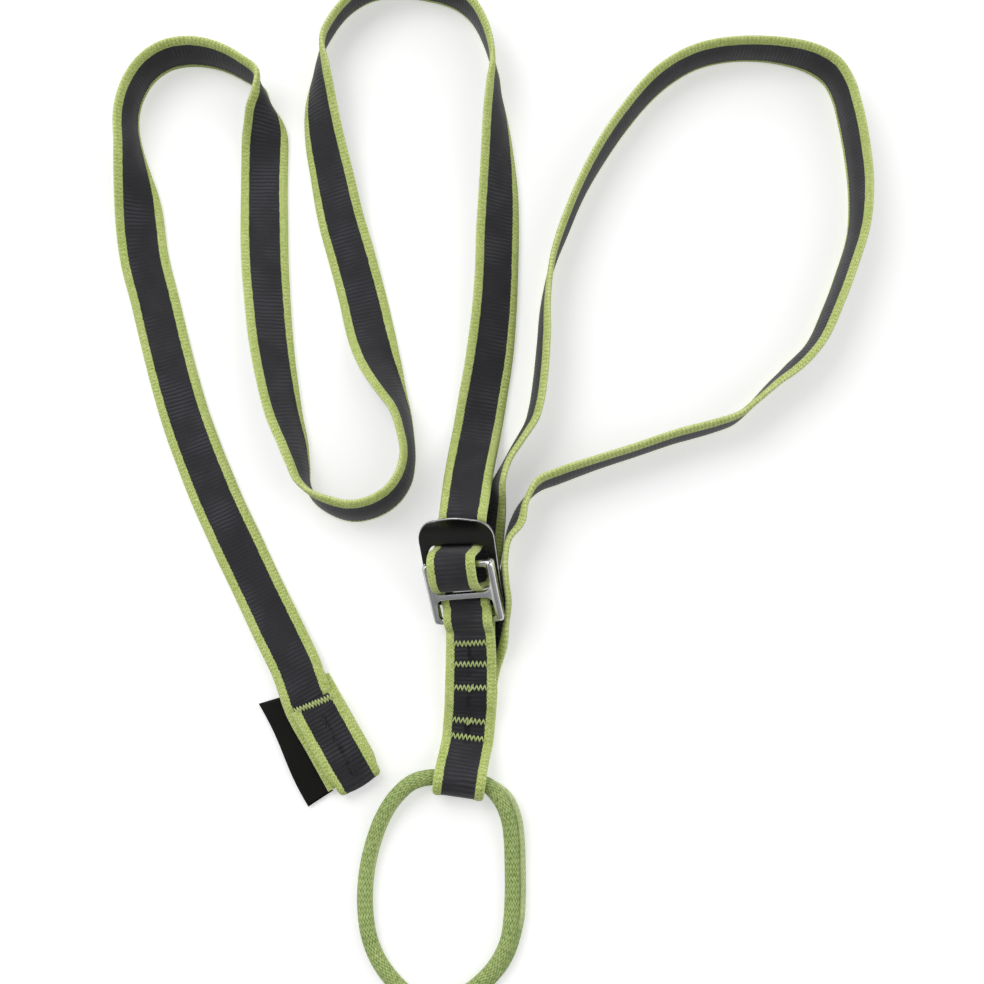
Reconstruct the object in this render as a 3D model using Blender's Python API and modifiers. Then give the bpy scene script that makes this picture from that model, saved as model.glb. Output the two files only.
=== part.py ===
"""Climbing sling of woven webbing, lying flat: a sewn part with a two-piece buckle and a ring, an
adjustable foot loop and a long free tail. Metres, +Z up, the table at z = 0, the origin under the middle."""

import math

import bmesh
import bpy
from mathutils import Matrix, Vector

for old in list(bpy.data.objects):
    bpy.data.objects.remove(old)

MILLIMETRE = 0.001
SMOOTH_ANGLE = math.radians(32)
WELD_DISTANCE = 0.000001

# Strap: one long woven webbing, modelled in three stretches that meet at hidden places
WEBBING_WIDTH = 0.020
WEBBING_THICKNESS = 0.0022
GAP = 0.0003
ROW_SPACING = 0.0065
FOLD_ROW_ANGLE = math.radians(30)
HALF_WIDTH = WEBBING_WIDTH / 2
HALF_THICKNESS = WEBBING_THICKNESS / 2
LAYER_STEP = WEBBING_THICKNESS + GAP

# Where the table's centre lies in the coordinates that the routes below use
MIDDLE = Vector((-0.0025, 0.0112, 0.0))

# Buckle plate: a ladder-shaped plate whose wide end is a cupped tab
PLATE_THICKNESS = 0.0022
PLATE_LEG_WIDTH = 0.0020
PLATE_FOOT_ASIDE = 0.0014
PLATE_TAB_ASIDE = -0.0008
PLATE_BAR_WIDTH = 0.0022
PLATE_WINDOW_LENGTH = 0.0205
PLATE_TAB_LENGTH = 0.0118
PLATE_TAB_CORNER = 0.0078
PLATE_TAB_CROWN = 0.0006
PLATE_TAB_RISE = 0.0024
PLATE_WINDOW_CORNER = 0.0020
PLATE_EDGE_ROUND = 0.0005
PLATE_POSITION = Vector((-0.0112, -0.0449, 0.0089))
BUCKLE_TURN = math.radians(-1.5)
BUCKLE_TILT = math.radians(17)
BUCKLE_PITCH = math.radians(22)
PLATE_RISE_START = 0.0040
PLATE_TAB_CUTS = 6

# Buckle frame: two tall rails with a top bar, a crossbar and a lower bar
FRAME_RAIL_WIDTH = 0.0030
FRAME_BAR_THICKNESS = 0.0022
FRAME_BAR_WIDTH = 0.0022
FRAME_CROSSBAR_WIDTH = 0.0026
TAIL_PASSAGE = 0.0079
FRAME_TOP_BAR_OFFSET = PLATE_WINDOW_LENGTH - TAIL_PASSAGE
FRAME_LOWER_BAR_OFFSET = 0.0104
FRAME_CORNER = 0.0030
FRAME_WINDOW_CORNER = 0.0012
FRAME_RAIL_BELOW = 0.0030
FRAME_RAIL_ABOVE = 0.0016
FRAME_EDGE_ROUND = 0.0005
FRAME_PITCH = math.radians(10.5)
FRAME_TURN = math.radians(3.5)
FRAME_CROSSBAR_ASIDE = 0.0024
FRAME_CROSSBAR_AHEAD = 0.0040
FRAME_CROSSBAR_LIFT = 0.0055
STRAP_CLEARANCE = 0.0012
BAR_FOLD_ASIDE = 0.0020
FRAME_HALF_WIDTH = HALF_WIDTH + STRAP_CLEARANCE + FRAME_RAIL_WIDTH
PLATE_OVERHANG = 0.0012
PLATE_HALF_WIDTH = FRAME_HALF_WIDTH + PLATE_OVERHANG

# The foot loop passes beside the plate, so its route moves with the plate's edge
ROUTE_PLATE_HALF_WIDTH = 0.0154
ROUTE_SHIFT_MARKS = 5

# Ring: a closed narrow tape with a lapped outer ply on its right side
RING_TAPE_WIDTH = 0.0060
RING_TAPE_HEIGHT = 0.0044
RING_LAP_WIDTH = 0.0024
RING_LAP_HEIGHT = 0.0036
RING_SIDES = 10
RING_POINT_SPACING = 0.0045
RING_LAP_FIRST = 1
RING_LAP_LAST = 9

# Eye of the sewn part, in which the ring hangs
EYE_CENTRE = Vector((-0.0122, -0.1127, 0.0060))
EYE_TURN = math.radians(-8)
EYE_RADIUS = EYE_CENTRE.z - HALF_THICKNESS
EYE_LEAVES_AT = math.radians(130)

# Stitching
THREAD_RADIUS = 0.00035
THREAD_GAP = 0.0005
TACK_WIDTH = 0.0140
TACK_HEIGHT = 0.0020
TACK_ZIGZAGS = 9
END_SEAM_WIDTH = 0.0160
END_SEAM_TURN = math.radians(-9)
END_SEAM_ZIGZAGS = 12
CENTRE_STITCH_LENGTH = 0.0250

# Tail end: a short piece of the same webbing folded round the end, and a label sewn in beside it
END_DIRECTION = Vector((0.51, -0.86, 0.0)).normalized()
END_FOLD_CENTRE = Vector((-0.0514, -0.1108, 0.0))
END_TOP_LENGTH = 0.0328
END_UNDER_LENGTH = 0.0400
END_SHIFT = 0.0023
LABEL_LENGTH = 0.0410
LABEL_WIDTH_TOP = 0.0086
LABEL_WIDTH_FOOT = 0.0108
LABEL_TUCK = 0.0017
LABEL_THICKNESS = 0.0006
LABEL_DROP = 0.0008

# Routes of the free webbing, chosen by hand: x, y and lift above the table in millimetres, then the roll in
# degrees of the strap's lower and upper half about the left-hand side of the direction of travel
SEWN_MIDDLE_ROUTE = (
    (-8.4, -81.0, 2.5, 0), (-8.2, -74.8, 2.8, -1), (-8.1, -67.2, 3.1, -6), (-8.2, -60.0, 3.4, -13),
)
SEWN_FRONT_ROUTE = (
    (-8.2, -60.0, 6.0, 13), (-8.1, -67.2, 5.7, 6), (-8.2, -74.8, 5.3, 1), (-8.3, -81.6, 5.0, 0),
    (-8.4, -84.4, 4.1, 0), (-8.6, -87.6, 2.9, 0), (-8.9, -91.0, 2.5, 0), (-9.4, -97.0, 2.5, 0),
    (-10.5, -103.0, 4.6, 0),
)
SEWN_BACK_ROUTE = (
    (-10.9, -104.5, 0, 0), (-9.2, -97.0, 0, 0), (-8.3, -88.0, 0, 0), (-7.9, -82.6, 0, 0), (-7.7, -78.7, 0, 0),
)
LOOP_ROUTE = (
    (-7.7, -78.3, 0, 180, 180), (-7.5, -74.4, 0, 180, 180), (-6.6, -70.0, 0, 180, 180),
    (-4.9, -65.4, 0, 180, 177), (-1.5, -59.6, 0, 178, 155), (3.4, -52.5, 0, 175, 110),
    (6.8, -45.2, 0, 140, 92), (6.4, -37.6, 0.2, 108, 90), (6.2, -29.8, 0, 91, 90), (6.9, -22.0, 0, 92, 92),
    (8.8, -13.9, 0, 104, 104), (12.4, -6.4, 0, 97, 97), (18.7, -0.2, 0, 88, 88),
    (26.4, 3.0, 0, 86, 86), (41.8, 8.6, 0, 89, 89), (57.2, 13.7, 0, 90, 90), (72.9, 19.1, 0, 90, 90),
    (88.5, 23.6, 0, 91, 91), (97.0, 27.4, 0, 92, 92), (102.9, 33.1, 0, 93, 93),
    (112.1, 42.9, 0, 99, 99), (120.8, 51.0, 0, 105, 105), (127.9, 58.5, 0, 102, 102),
    (136.1, 74.4, 0, 99, 99), (142.8, 90.9, 0, 97, 97), (148.7, 107.7, 0, 96, 96),
    (150.6, 124.8, 0, 98, 98), (150.0, 142.1, 0, 98, 98), (147.9, 159.6, 0, 97, 97),
    (146.0, 168.9, 0, 96, 96), (141.9, 177.3, 0, 94, 94), (134.6, 182.6, 0, 92, 92),
    (123.3, 185.9, 0, 89, 89), (110.9, 187.1, 0, 87, 87), (98.4, 186.4, 0, 87, 87),
    (87.5, 183.9, 0, 88, 88), (77.3, 178.7, 0, 90, 90), (67.2, 170.2, 0, 92, 92),
    (58.3, 159.4, 0, 94, 94), (46.5, 141.6, 0, 96, 96), (37.6, 124.4, 0, 95, 95),
    (30.6, 107.2, 0, 94, 94), (24.2, 90.5, 0, 89, 89), (20.6, 73.8, 0, 84, 84),
    (19.1, 57.3, 0, 80, 80), (17.5, 41.2, 0, 78, 78), (14.4, 26.7, 0, 78, 78), (9.6, 17.7, 0, 80, 80),
    (5.0, 9.4, 0, 82, 82), (2.8, 1.6, 0.4, 84, 84), (-0.4, -5.5, 0, 8, 60), (-1.6, -12.8, 0, 6, 50),
    (-3.6, -19.6, 0, 10, 30), (-5.3, -24.4, 0, 13, 21), (-6.0, -28.8, 0, 14, 16),
)
TAIL_ROUTE = (
    (-9.8, -6.2, 11.5, -14), (-8.7, 3.0, 8.4, -11), (-7.4, 12.4, 4.7, -7), (-6.0, 22.6, 1.3, -2),
    (-3.9, 37.2, 0.15, 5), (-1.2, 54.0, 0, 12), (0.7, 71.0, 0, 20), (1.8, 88.3, 0, 24), (2.3, 105.8, 0, 25),
    (2.8, 123.5, 0, 32), (3.1, 141.4, 0, 46), (2.9, 159.6, 0, 62), (2.4, 170.0, 0, 75),
    (1.2, 179.0, 0, 83), (-1.3, 187.2, 0, 88), (-4.2, 196.0, 0, 90), (-9.4, 205.8, 0, 90),
    (-16.5, 211.8, 0, 90), (-28.0, 215.6, 0, 90), (-41.0, 216.9, 0, 88), (-52.0, 214.3, 0, 84),
    (-60.8, 207.3, 0, 80), (-67.8, 197.0, 0, 81), (-71.8, 187.2, 0, 78), (-73.3, 178.6, 0, 66),
    (-73.0, 168.0, 0, 48), (-70.6, 151.5, 0, 32), (-66.8, 133.4, 0, 21), (-62.9, 115.5, 0, 10),
    (-57.8, 97.8, 0, 4), (-53.1, 80.4, 0, 0), (-49.1, 64.2, 0, -9), (-45.2, 52.0, 0, -30),
    (-39.8, 41.0, 0, -52), (-35.4, 32.0, 0, -68), (-32.9, 22.0, 0, -76), (-31.8, 11.5, 0, -80),
    (-33.6, 2.8, 0, -78), (-38.4, -4.4, 0, -77), (-45.8, -9.2, 0, -77), (-55.0, -11.0, 0, -78),
    (-64.0, -8.6, 0, -82), (-71.6, -2.6, 0, -88), (-76.4, 8.6, 0, -101), (-79.4, 18.4, 0, -110),
    (-83.0, 28.6, 0, -120), (-86.9, 44.8, 0, -133), (-89.8, 62.6, 0, -145), (-91.9, 80.4, 0, -154),
    (-93.6, 97.8, 0, -164), (-94.7, 115.5, 0, -172), (-95.4, 133.4, 0, -176), (-95.2, 149.0, 0, -162),
    (-94.4, 159.0, 0, -132), (-94.8, 166.4, 0, -102), (-98.4, 173.0, 0, -90), (-105.4, 178.4, 0, -86),
    (-112.2, 182.3, 0, -84), (-120.0, 184.9, 0, -83), (-128.6, 185.6, 0, -83), (-137.0, 183.6, 0, -84),
    (-143.5, 178.6, 0, -84), (-148.0, 171.2, 0, -82), (-150.4, 162.6, 0, -79), (-150.6, 153.6, 0, -74),
    (-149.0, 143.6, 0, -67), (-147.6, 134.0, 0, -54), (-146.8, 124.4, 0, -37), (-146.0, 114.6, 0, -21),
    (-143.6, 98.0, 0, -9), (-138.7, 80.4, 0, -3), (-134.0, 63.2, 0, 0), (-129.0, 46.2, 0, 0),
    (-123.4, 29.4, 0, 0), (-116.8, 12.9, 0, 0), (-109.6, -3.4, 0, 0), (-101.6, -19.6, 0, 0),
    (-93.4, -35.8, 0.2, 0), (-85.2, -51.6, 1.2, 0), (-76.8, -67.4, 2.5, 0),
)
RING_ROUTE = (
    (-1.4, -114.3, 3.7), (3.2, -119.4, 3.1), (6.4, -126.9, 1.9), (7.4, -134.2, 1.0), (7.7, -143.0, 0.2),
    (7.7, -155.0, 0), (7.2, -163.0, 0), (6.0, -170.2, 0), (2.9, -177.0, 0), (-3.4, -184.4, 0),
    (-10.7, -189.6, 0), (-20.2, -192.3, 0), (-30.1, -189.8, 0), (-37.2, -183.8, 0), (-42.3, -177.0, 0),
    (-45.4, -170.0, 0), (-47.3, -160.0, 0), (-47.4, -150.0, 0), (-46.3, -141.4, 0.1),
    (-44.4, -134.0, 0.5), (-41.6, -126.6, 1.3), (-36.4, -118.4, 2.5), (-29.8, -112.8, 3.4),
    (-23.0, -111.1, 3.8), (-12.2, -112.7, 3.8),
)
TACK_ROWS = (-0.0610, -0.0687, -0.0774, -0.0902, -0.0964)

# Ways through the buckle, chosen by hand in the plate's own frame: to the side, up the plate and off the
# plate, in millimetres from the middle of its lower bar. The tail's third value is the share of the window's
# length that is added to its way up the plate, so that it dives under the tab wherever the tab is.
SEWN_FOLD_AWAY = (
    (2.3, -1.6, 3.3), (2.6, -2.9, 4.9), (3.0, -4.3, 6.5), (3.4, -6.2, 7.2), (3.7, -8.3, 6.3),
    (3.8, -10.4, 4.2),
)
TAIL_WAY = (
    (3.0, 11.8, 0, -8.6), (2.8, 9.3, 0, -7.8), (2.6, 7.3, 0, -6.2), (2.3, 6.1, 0, -4.0),
    (2.0, 5.8, 0, -1.5), (1.7, 6.3, 0, 1.2), (1.4, 7.4, 0, 3.9), (1.2, 7.3, 0.1, 7.2),
    (1.0, 3.4, 0.4, 10.1), (0.8, -2.6, 0.8, 11.5), (0.7, -3.5, 1, 11.3), (0.6, -1.5, 1, 10.0),
    (0.6, -0.7, 1, 7.8), (0.7, -0.7, 1, 5.2), (0.8, -0.9, 1, 2.4), (0.9, -0.9, 1, 0.0),
    (1.0, -0.3, 1, -1.8), (1.2, 1.3, 1, -2.8), (1.4, 3.5, 1, -3.0), (1.6, 6.9, 1, -3.0),
    (1.8, 10.4, 1, -3.2),
)

UP = Vector((0.0, 0.0, 1.0))
ACROSS = Vector((1.0, 0.0, 0.0))
ALONG = Vector((0.0, 1.0, 0.0))


def material(name, colour, roughness, metallic=0.0):
    made = bpy.data.materials.new(name)
    made.use_nodes = True
    shader = made.node_tree.nodes["Principled BSDF"]
    shader.inputs["Base Color"].default_value = (*colour, 1.0)
    shader.inputs["Roughness"].default_value = roughness
    shader.inputs["Metallic"].default_value = metallic
    made.diffuse_color = (*colour, 1.0)
    return made


def smooth_rows(rows, spacing):
    """Rows of values joined by one smooth curve, in steps of about the spacing between the first values."""
    lengths = [(b[0] - a[0]).length for a, b in zip(rows, rows[1:])]
    out = []
    for i, length in enumerate(lengths):
        steps = max(1, round(length / spacing))
        for step in range(steps):
            t = step / steps
            row = []
            for k, first in enumerate(rows[i]):
                second = rows[i + 1][k]
                run_in = run_out = second - first
                if i > 0:
                    ratio = length / lengths[i - 1]
                    run_in = ((first - rows[i - 1][k]) * ratio * ratio + run_in) / (1 + ratio)
                if i + 2 < len(rows):
                    ratio = length / lengths[i + 1]
                    run_out = (run_out + (rows[i + 2][k] - second) * ratio * ratio) / (1 + ratio)
                start = first * (2 * t**3 - 3 * t**2 + 1) + run_in * (t**3 - 2 * t**2 + t)
                row.append(start + second * (3 * t**2 - 2 * t**3) + run_out * (t**3 - t**2))
            out.append(row)
    out.append(list(rows[-1]))
    return out


def route_rows(route, spacing, aside=0.0):
    """Cross rows of the webbing, each its middle, low edge and high edge, along a route on the table. Away
    from its ends the route is moved aside by a distance."""
    marks = []
    for i, (x, y, lift, *rolls) in enumerate(route):
        eased = min(1, i / ROUTE_SHIFT_MARKS, (len(route) - 1 - i) / ROUTE_SHIFT_MARKS)
        place = Vector((x, y, 0.0)) * MILLIMETRE + ACROSS * (aside * eased)
        turns = Vector((math.radians(rolls[0]), math.radians(rolls[-1])))
        marks.append([place, turns, Vector((lift, 0.0)) * MILLIMETRE])
    steps = smooth_rows(marks, spacing)
    rows = []
    for i, (place, turns, lift) in enumerate(steps):
        heading = steps[min(i + 1, len(steps) - 1)][0] - steps[max(i - 1, 0)][0]
        left = UP.cross(heading).normalized()
        low, high = (left * math.cos(turn) + UP * math.sin(turn) for turn in turns)
        stand = HALF_WIDTH * max(low.z, -high.z, 0.0)
        lean = HALF_THICKNESS * max(abs(math.cos(turn)) for turn in turns)
        middle = place + UP * (lift[0] + stand + lean)
        rows.append([middle, middle - low * HALF_WIDTH, middle + high * HALF_WIDTH])
    return rows


def turned_over(rows):
    return [[middle, high, low] for middle, low, high in rows]


def joined(*stretches):
    """Stretches of cross rows joined by a smooth curve across the space between them."""
    marks = [row for stretch in stretches for row in stretch]
    rows = []
    for middle, low, high in smooth_rows(marks, ROW_SPACING):
        lower, upper = ((edge - middle).normalized() * HALF_WIDTH for edge in (low, high))
        rows.append([middle, middle + lower, middle + upper])
    return rows


def plain_row(middle, side):
    return [middle, middle - side * HALF_WIDTH, middle + side * HALF_WIDTH]


def arc_rows(centre, forward, side, radius, start, end):
    """Cross rows round a fold: the angle turns from forward to up about the fold's centre."""
    count = max(2, round(abs(end - start) / FOLD_ROW_ANGLE))
    rows = []
    for i in range(count + 1):
        angle = start + (end - start) * i / count
        spoke = forward * math.cos(angle) + UP * math.sin(angle)
        rows.append(plain_row(centre + spoke * radius, side))
    return rows


def link(obj, parent=None):
    COLLECTION.objects.link(obj)
    if parent is not None:
        obj.parent = parent
    return obj


def strip(name, rows, look, thickness=WEBBING_THICKNESS):
    """A strap: an open surface along the rows, given its thickness."""
    across = len(rows[0]) - 1
    along = len(rows) - 1
    order = (1, 0, 2) if across == 2 else (0, 1)
    bm = bmesh.new()
    bmesh.ops.create_grid(bm, x_segments=across, y_segments=along, size=1)
    for vertex in bm.verts:
        i = round((vertex.co.x + 1) / 2 * across)
        j = round((vertex.co.y + 1) / 2 * along)
        vertex.co = rows[j][order[i]] - MIDDLE
    mesh = bpy.data.meshes.new(name)
    bm.to_mesh(mesh)
    bm.free()
    mesh.shade_smooth()
    mesh.set_sharp_from_angle(angle=SMOOTH_ANGLE)
    mesh.materials.append(look)
    strap = link(bpy.data.objects.new(name, mesh))
    solid = strap.modifiers.new("thickness", "SOLIDIFY")
    solid.thickness = thickness
    solid.offset = 0.0
    solid.use_even_offset = True
    return strap


def thread(name, points, look):
    """One sewing thread lying on the webbing."""
    curve = bpy.data.curves.new(name, "CURVE")
    curve.dimensions = "3D"
    curve.bevel_depth = THREAD_RADIUS
    curve.bevel_resolution = 0
    curve.use_fill_caps = True
    spline = curve.splines.new("POLY")
    spline.points.add(len(points) - 1)
    for spot, place in zip(spline.points, points):
        spot.co = (*(place - MIDDLE), 1.0)
    curve.materials.append(look)
    return link(bpy.data.objects.new(name, curve))


def zigzag(centre, side, along, width, height, count):
    """Points of a zigzag seam across the strap."""
    points = []
    for i in range(2 * count + 1):
        place = centre + side * (i / (2 * count) - 1 / 2) * width
        points.append(place + along * (height / 2 if i % 2 else -height / 2))
    return points


def rounded_outline(corners, steps=5):
    """A closed outline with round corners, from x, y and radius of each corner."""
    points = []
    for i, (x, y, radius) in enumerate(corners):
        here = Vector((x, y))
        before = (Vector(corners[i - 1][:2]) - here).normalized()
        after = (Vector(corners[(i + 1) % len(corners)][:2]) - here).normalized()
        if radius == 0:
            points.append(here)
            continue
        half_angle = before.angle(after) / 2
        reach = radius / math.tan(half_angle)
        centre = here + (before + after).normalized() * radius / math.sin(half_angle)
        first = here + before * reach - centre
        last = here + after * reach - centre
        turn = first.angle_signed(last)
        for step in range(steps + 1):
            points.append(centre + Matrix.Rotation(-turn * step / steps, 2) @ first)
    return points


def flat_solid(name, outlines, thickness):
    """A flat plate: filled outlines, the later ones as holes, given their thickness, with welded caps."""
    curve = bpy.data.curves.new(name, "CURVE")
    curve.dimensions = "2D"
    curve.fill_mode = "BOTH"
    curve.extrude = thickness / 2
    for outline in outlines:
        spline = curve.splines.new("POLY")
        spline.use_cyclic_u = True
        spline.points.add(len(outline) - 1)
        for spot, place in zip(spline.points, outline):
            spot.co = (place[0], place[1], 0.0, 1.0)
    flat = link(bpy.data.objects.new(name + "_outline", curve))
    graph = bpy.context.evaluated_depsgraph_get()
    mesh = bpy.data.meshes.new_from_object(flat.evaluated_get(graph))
    bpy.data.objects.remove(flat)
    bm = bmesh.new()
    bm.from_mesh(mesh)
    bmesh.ops.remove_doubles(bm, verts=bm.verts, dist=WELD_DISTANCE)
    bmesh.ops.recalc_face_normals(bm, faces=bm.faces)
    bm.to_mesh(mesh)
    bm.free()
    return link(bpy.data.objects.new(name, mesh))


def box(name, size, place):
    bm = bmesh.new()
    bmesh.ops.create_cube(bm, size=1)
    bmesh.ops.scale(bm, vec=size, verts=bm.verts)
    bmesh.ops.translate(bm, vec=place, verts=bm.verts)
    mesh = bpy.data.meshes.new(name)
    bm.to_mesh(mesh)
    bm.free()
    return bpy.data.objects.new(name, mesh)


def cut(obj, cutter, operation):
    """A Boolean with a hidden cutter that shares the object's frame."""
    if cutter.users_collection:
        COLLECTION.objects.unlink(cutter)
    CUTTERS.objects.link(cutter)
    cutter.hide_render = True
    cutter.display_type = "WIRE"
    modifier = obj.modifiers.new(operation.lower(), "BOOLEAN")
    modifier.operation = operation
    modifier.object = cutter
    cutter.parent = obj


def round_edges(obj, width):
    bevel = obj.modifiers.new("edge round", "BEVEL")
    bevel.width = width
    bevel.segments = 2
    bevel.limit_method = "ANGLE"
    bevel.angle_limit = SMOOTH_ANGLE


def tab_height(x, y):
    """How far the plate's tab has curled up at a point."""
    start = PLATE_BAR_WIDTH / 2 + PLATE_WINDOW_LENGTH + PLATE_RISE_START
    end = PLATE_BAR_WIDTH / 2 + PLATE_WINDOW_LENGTH + PLATE_TAB_LENGTH
    share = min(max((y - start) / (end - start), 0.0), 1.0)
    return PLATE_TAB_RISE * share * share * (1 + (x / PLATE_HALF_WIDTH) ** 2 / 3)


def make_plate(hinge, look):
    """Dark plate: lower bar, two legs, a window and the cupped tab."""
    low = -PLATE_BAR_WIDTH / 2
    window_low = PLATE_BAR_WIDTH / 2
    window_high = window_low + PLATE_WINDOW_LENGTH
    top = window_high + PLATE_TAB_LENGTH
    half = PLATE_HALF_WIDTH
    foot = PLATE_FOOT_ASIDE
    aside = PLATE_TAB_ASIDE
    inner = half - PLATE_LEG_WIDTH
    outline = rounded_outline(
        (
            (foot - half, low, PLATE_BAR_WIDTH / 2), (foot + half, low, PLATE_BAR_WIDTH / 2),
            (aside + half, top - PLATE_TAB_CROWN, PLATE_TAB_CORNER), (aside, top, half),
            (aside - half, top - PLATE_TAB_CROWN, PLATE_TAB_CORNER),
        )
    )
    corner = PLATE_WINDOW_CORNER
    window = rounded_outline(
        ((foot - inner, window_low, corner), (foot + inner, window_low, corner),
         (aside + inner, window_high, corner), (aside - inner, window_high, corner)),
        steps=3,
    )
    plate = flat_solid("buckle_plate", (outline, window), PLATE_THICKNESS)
    bm = bmesh.new()
    bm.from_mesh(plate.data)
    above = window_low + WELD_DISTANCE
    for k in range(1, PLATE_TAB_CUTS):
        share = k / PLATE_TAB_CUTS
        high = Vector((0.0, window_high + PLATE_TAB_LENGTH * share, 0.0))
        across = Vector((half * (share + share - 1), 0.0, 0.0))
        for place, normal in ((high, ALONG), (across, ACROSS)):
            faces = [face for face in bm.faces if min(v.co.y for v in face.verts) > above]
            edges = {edge for face in faces for edge in face.edges}
            corners = {corner for face in faces for corner in face.verts}
            parts = faces + list(edges) + list(corners)
            bmesh.ops.bisect_plane(bm, geom=parts, plane_co=place, plane_no=normal, dist=WELD_DISTANCE)
    for vertex in bm.verts:
        vertex.co.z += tab_height(vertex.co.x, vertex.co.y)
    bm.to_mesh(plate.data)
    bm.free()
    plate.data.materials.append(look)
    plate.parent = hinge
    round_edges(plate, PLATE_EDGE_ROUND)
    return plate


def make_frame(mount, look):
    """Bright frame: a ladder with two windows and rails that stand taller than its bars."""
    half = FRAME_HALF_WIDTH
    inner = half - FRAME_RAIL_WIDTH
    low = -FRAME_LOWER_BAR_OFFSET - FRAME_BAR_WIDTH / 2
    high = FRAME_TOP_BAR_OFFSET + FRAME_BAR_WIDTH / 2
    corner = FRAME_CORNER
    outer = rounded_outline(
        ((-half, low, corner), (half, low, corner), (half, high, corner), (-half, high, corner))
    )
    windows = []
    for bottom, top in (
        (-FRAME_LOWER_BAR_OFFSET + FRAME_BAR_WIDTH / 2, -FRAME_CROSSBAR_WIDTH / 2),
        (FRAME_CROSSBAR_WIDTH / 2, FRAME_TOP_BAR_OFFSET - FRAME_BAR_WIDTH / 2),
    ):
        inset = FRAME_WINDOW_CORNER
        marks = ((-inner, bottom, inset), (inner, bottom, inset), (inner, top, inset), (-inner, top, inset))
        windows.append(rounded_outline(marks, steps=3))
    frame = flat_solid("buckle_frame", (outer, *windows), FRAME_BAR_THICKNESS)
    rail_height = FRAME_RAIL_BELOW + FRAME_RAIL_ABOVE
    rails = flat_solid("frame_rails", (outer,), rail_height)
    rails.location.z = (FRAME_RAIL_ABOVE - FRAME_RAIL_BELOW) / 2
    channel = box("rail_channel", (2 * inner, 3 * high, 3 * rail_height), (0.0, 0.0, 0.0))
    cut(rails, channel, "DIFFERENCE")
    cut(frame, rails, "UNION")
    frame.data.materials.append(look)
    frame.parent = mount
    round_edges(frame, FRAME_EDGE_ROUND)
    return frame


def oval_profile(name, width, height):
    """A closed oval, the section of a tape."""
    curve = bpy.data.curves.new(name, "CURVE")
    curve.dimensions = "2D"
    spline = curve.splines.new("POLY")
    spline.use_cyclic_u = True
    spline.points.add(RING_SIDES - 1)
    for i, spot in enumerate(spline.points):
        angle = -2 * math.pi * (i + 1 / 2) / RING_SIDES
        spot.co = (math.cos(angle) * width / 2, math.sin(angle) * height / 2, 0.0, 1.0)
    guide = bpy.data.objects.new(name, curve)
    CUTTERS.objects.link(guide)
    guide.hide_render = True
    guide.display_type = "WIRE"
    return guide


def tape(name, points, profile, look, parent, origin, closed):
    """A narrow tape along the points, with the profile as its section."""
    curve = bpy.data.curves.new(name, "CURVE")
    curve.dimensions = "3D"
    curve.twist_mode = "Z_UP"
    curve.bevel_mode = "OBJECT"
    curve.bevel_object = profile
    curve.use_fill_caps = not closed
    spline = curve.splines.new("POLY")
    spline.use_cyclic_u = closed
    spline.use_smooth = True
    spline.points.add(len(points) - 1)
    for spot, place in zip(spline.points, points):
        spot.co = (*(place - origin), 1.0)
    curve.materials.append(look)
    return link(bpy.data.objects.new(name, curve), parent)


def ring_points(route, spacing):
    """Points round the ring's closed middle line."""
    stand = RING_TAPE_HEIGHT / 2
    marks = [Vector((x * MILLIMETRE, y * MILLIMETRE, lift * MILLIMETRE + stand)) for x, y, lift in route]
    closed = marks[-2:] + marks + marks[:2]
    rows = smooth_rows([[mark] for mark in closed], spacing)
    points = [row[0] for row in rows]
    start = points.index(min(points[: len(points) // 4], key=lambda p: (p - marks[0]).length))
    end = len(points) - 1 - points[::-1].index(
        min(points[3 * len(points) // 4:], key=lambda p: (p - marks[0]).length)
    )
    return points[start:end]


def stand_on(rows, y):
    """The sewn part's front layer at a place along the sling: a point on its face, its side and its run."""
    for before, after in zip(rows, rows[1:]):
        if before[0].y >= y > after[0].y:
            share = (before[0].y - y) / (before[0].y - after[0].y)
            middle, one, other = (a.lerp(b, share) for a, b in zip(before, after))
            side = (other - one).normalized()
            run = (after[0] - before[0]).normalized()
            normal = side.cross(run).normalized()
            normal = normal if normal.z > 0 else -normal
            return middle + normal * (HALF_THICKNESS + THREAD_RADIUS + THREAD_GAP), side, run
    return None


def empty(name, matrix):
    pivot = link(bpy.data.objects.new(name, None))
    pivot.matrix_world = matrix
    return pivot


COLLECTION = bpy.data.collections.new("climbing_sling")
CUTTERS = bpy.data.collections.new("climbing_sling_cutters")
bpy.context.scene.collection.children.link(COLLECTION)
bpy.context.scene.collection.children.link(CUTTERS)

green_webbing = material("green_webbing", (0.33, 0.42, 0.12), 0.85)
ring_look = material("ring_fabric", (0.22, 0.38, 0.14), 0.85)
thread_look = material("thread", (0.55, 0.62, 0.35), 0.7)
dark_thread = material("dark_thread", (0.03, 0.03, 0.035), 0.7)
label_look = material("label_satin", (0.02, 0.02, 0.02), 0.55)
black_metal = material("black_anodised_metal", (0.015, 0.015, 0.017), 0.28, 0.6)
bright_metal = material("polished_metal", (0.75, 0.75, 0.76), 0.2, 1.0)

# The buckle's own frame: across, up the plate, off the plate
buckle_turn = Matrix.Rotation(BUCKLE_TURN, 4, "Z") @ Matrix.Rotation(-BUCKLE_TILT, 4, "Y")
buckle_turn = buckle_turn @ Matrix.Rotation(BUCKLE_PITCH, 4, "X")
buckle = Matrix.Translation(PLATE_POSITION) @ buckle_turn
buckle_side = (buckle.to_3x3() @ ACROSS).normalized()


def buckle_rows(way):
    rows = []
    for aside, up, *window_share, off in way:
        spot = Vector((aside, up, off)) * MILLIMETRE
        spot.y += PLATE_WINDOW_LENGTH * sum(window_share)
        rows.append(plain_row(buckle @ spot, -buckle_side))
    return rows


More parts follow.
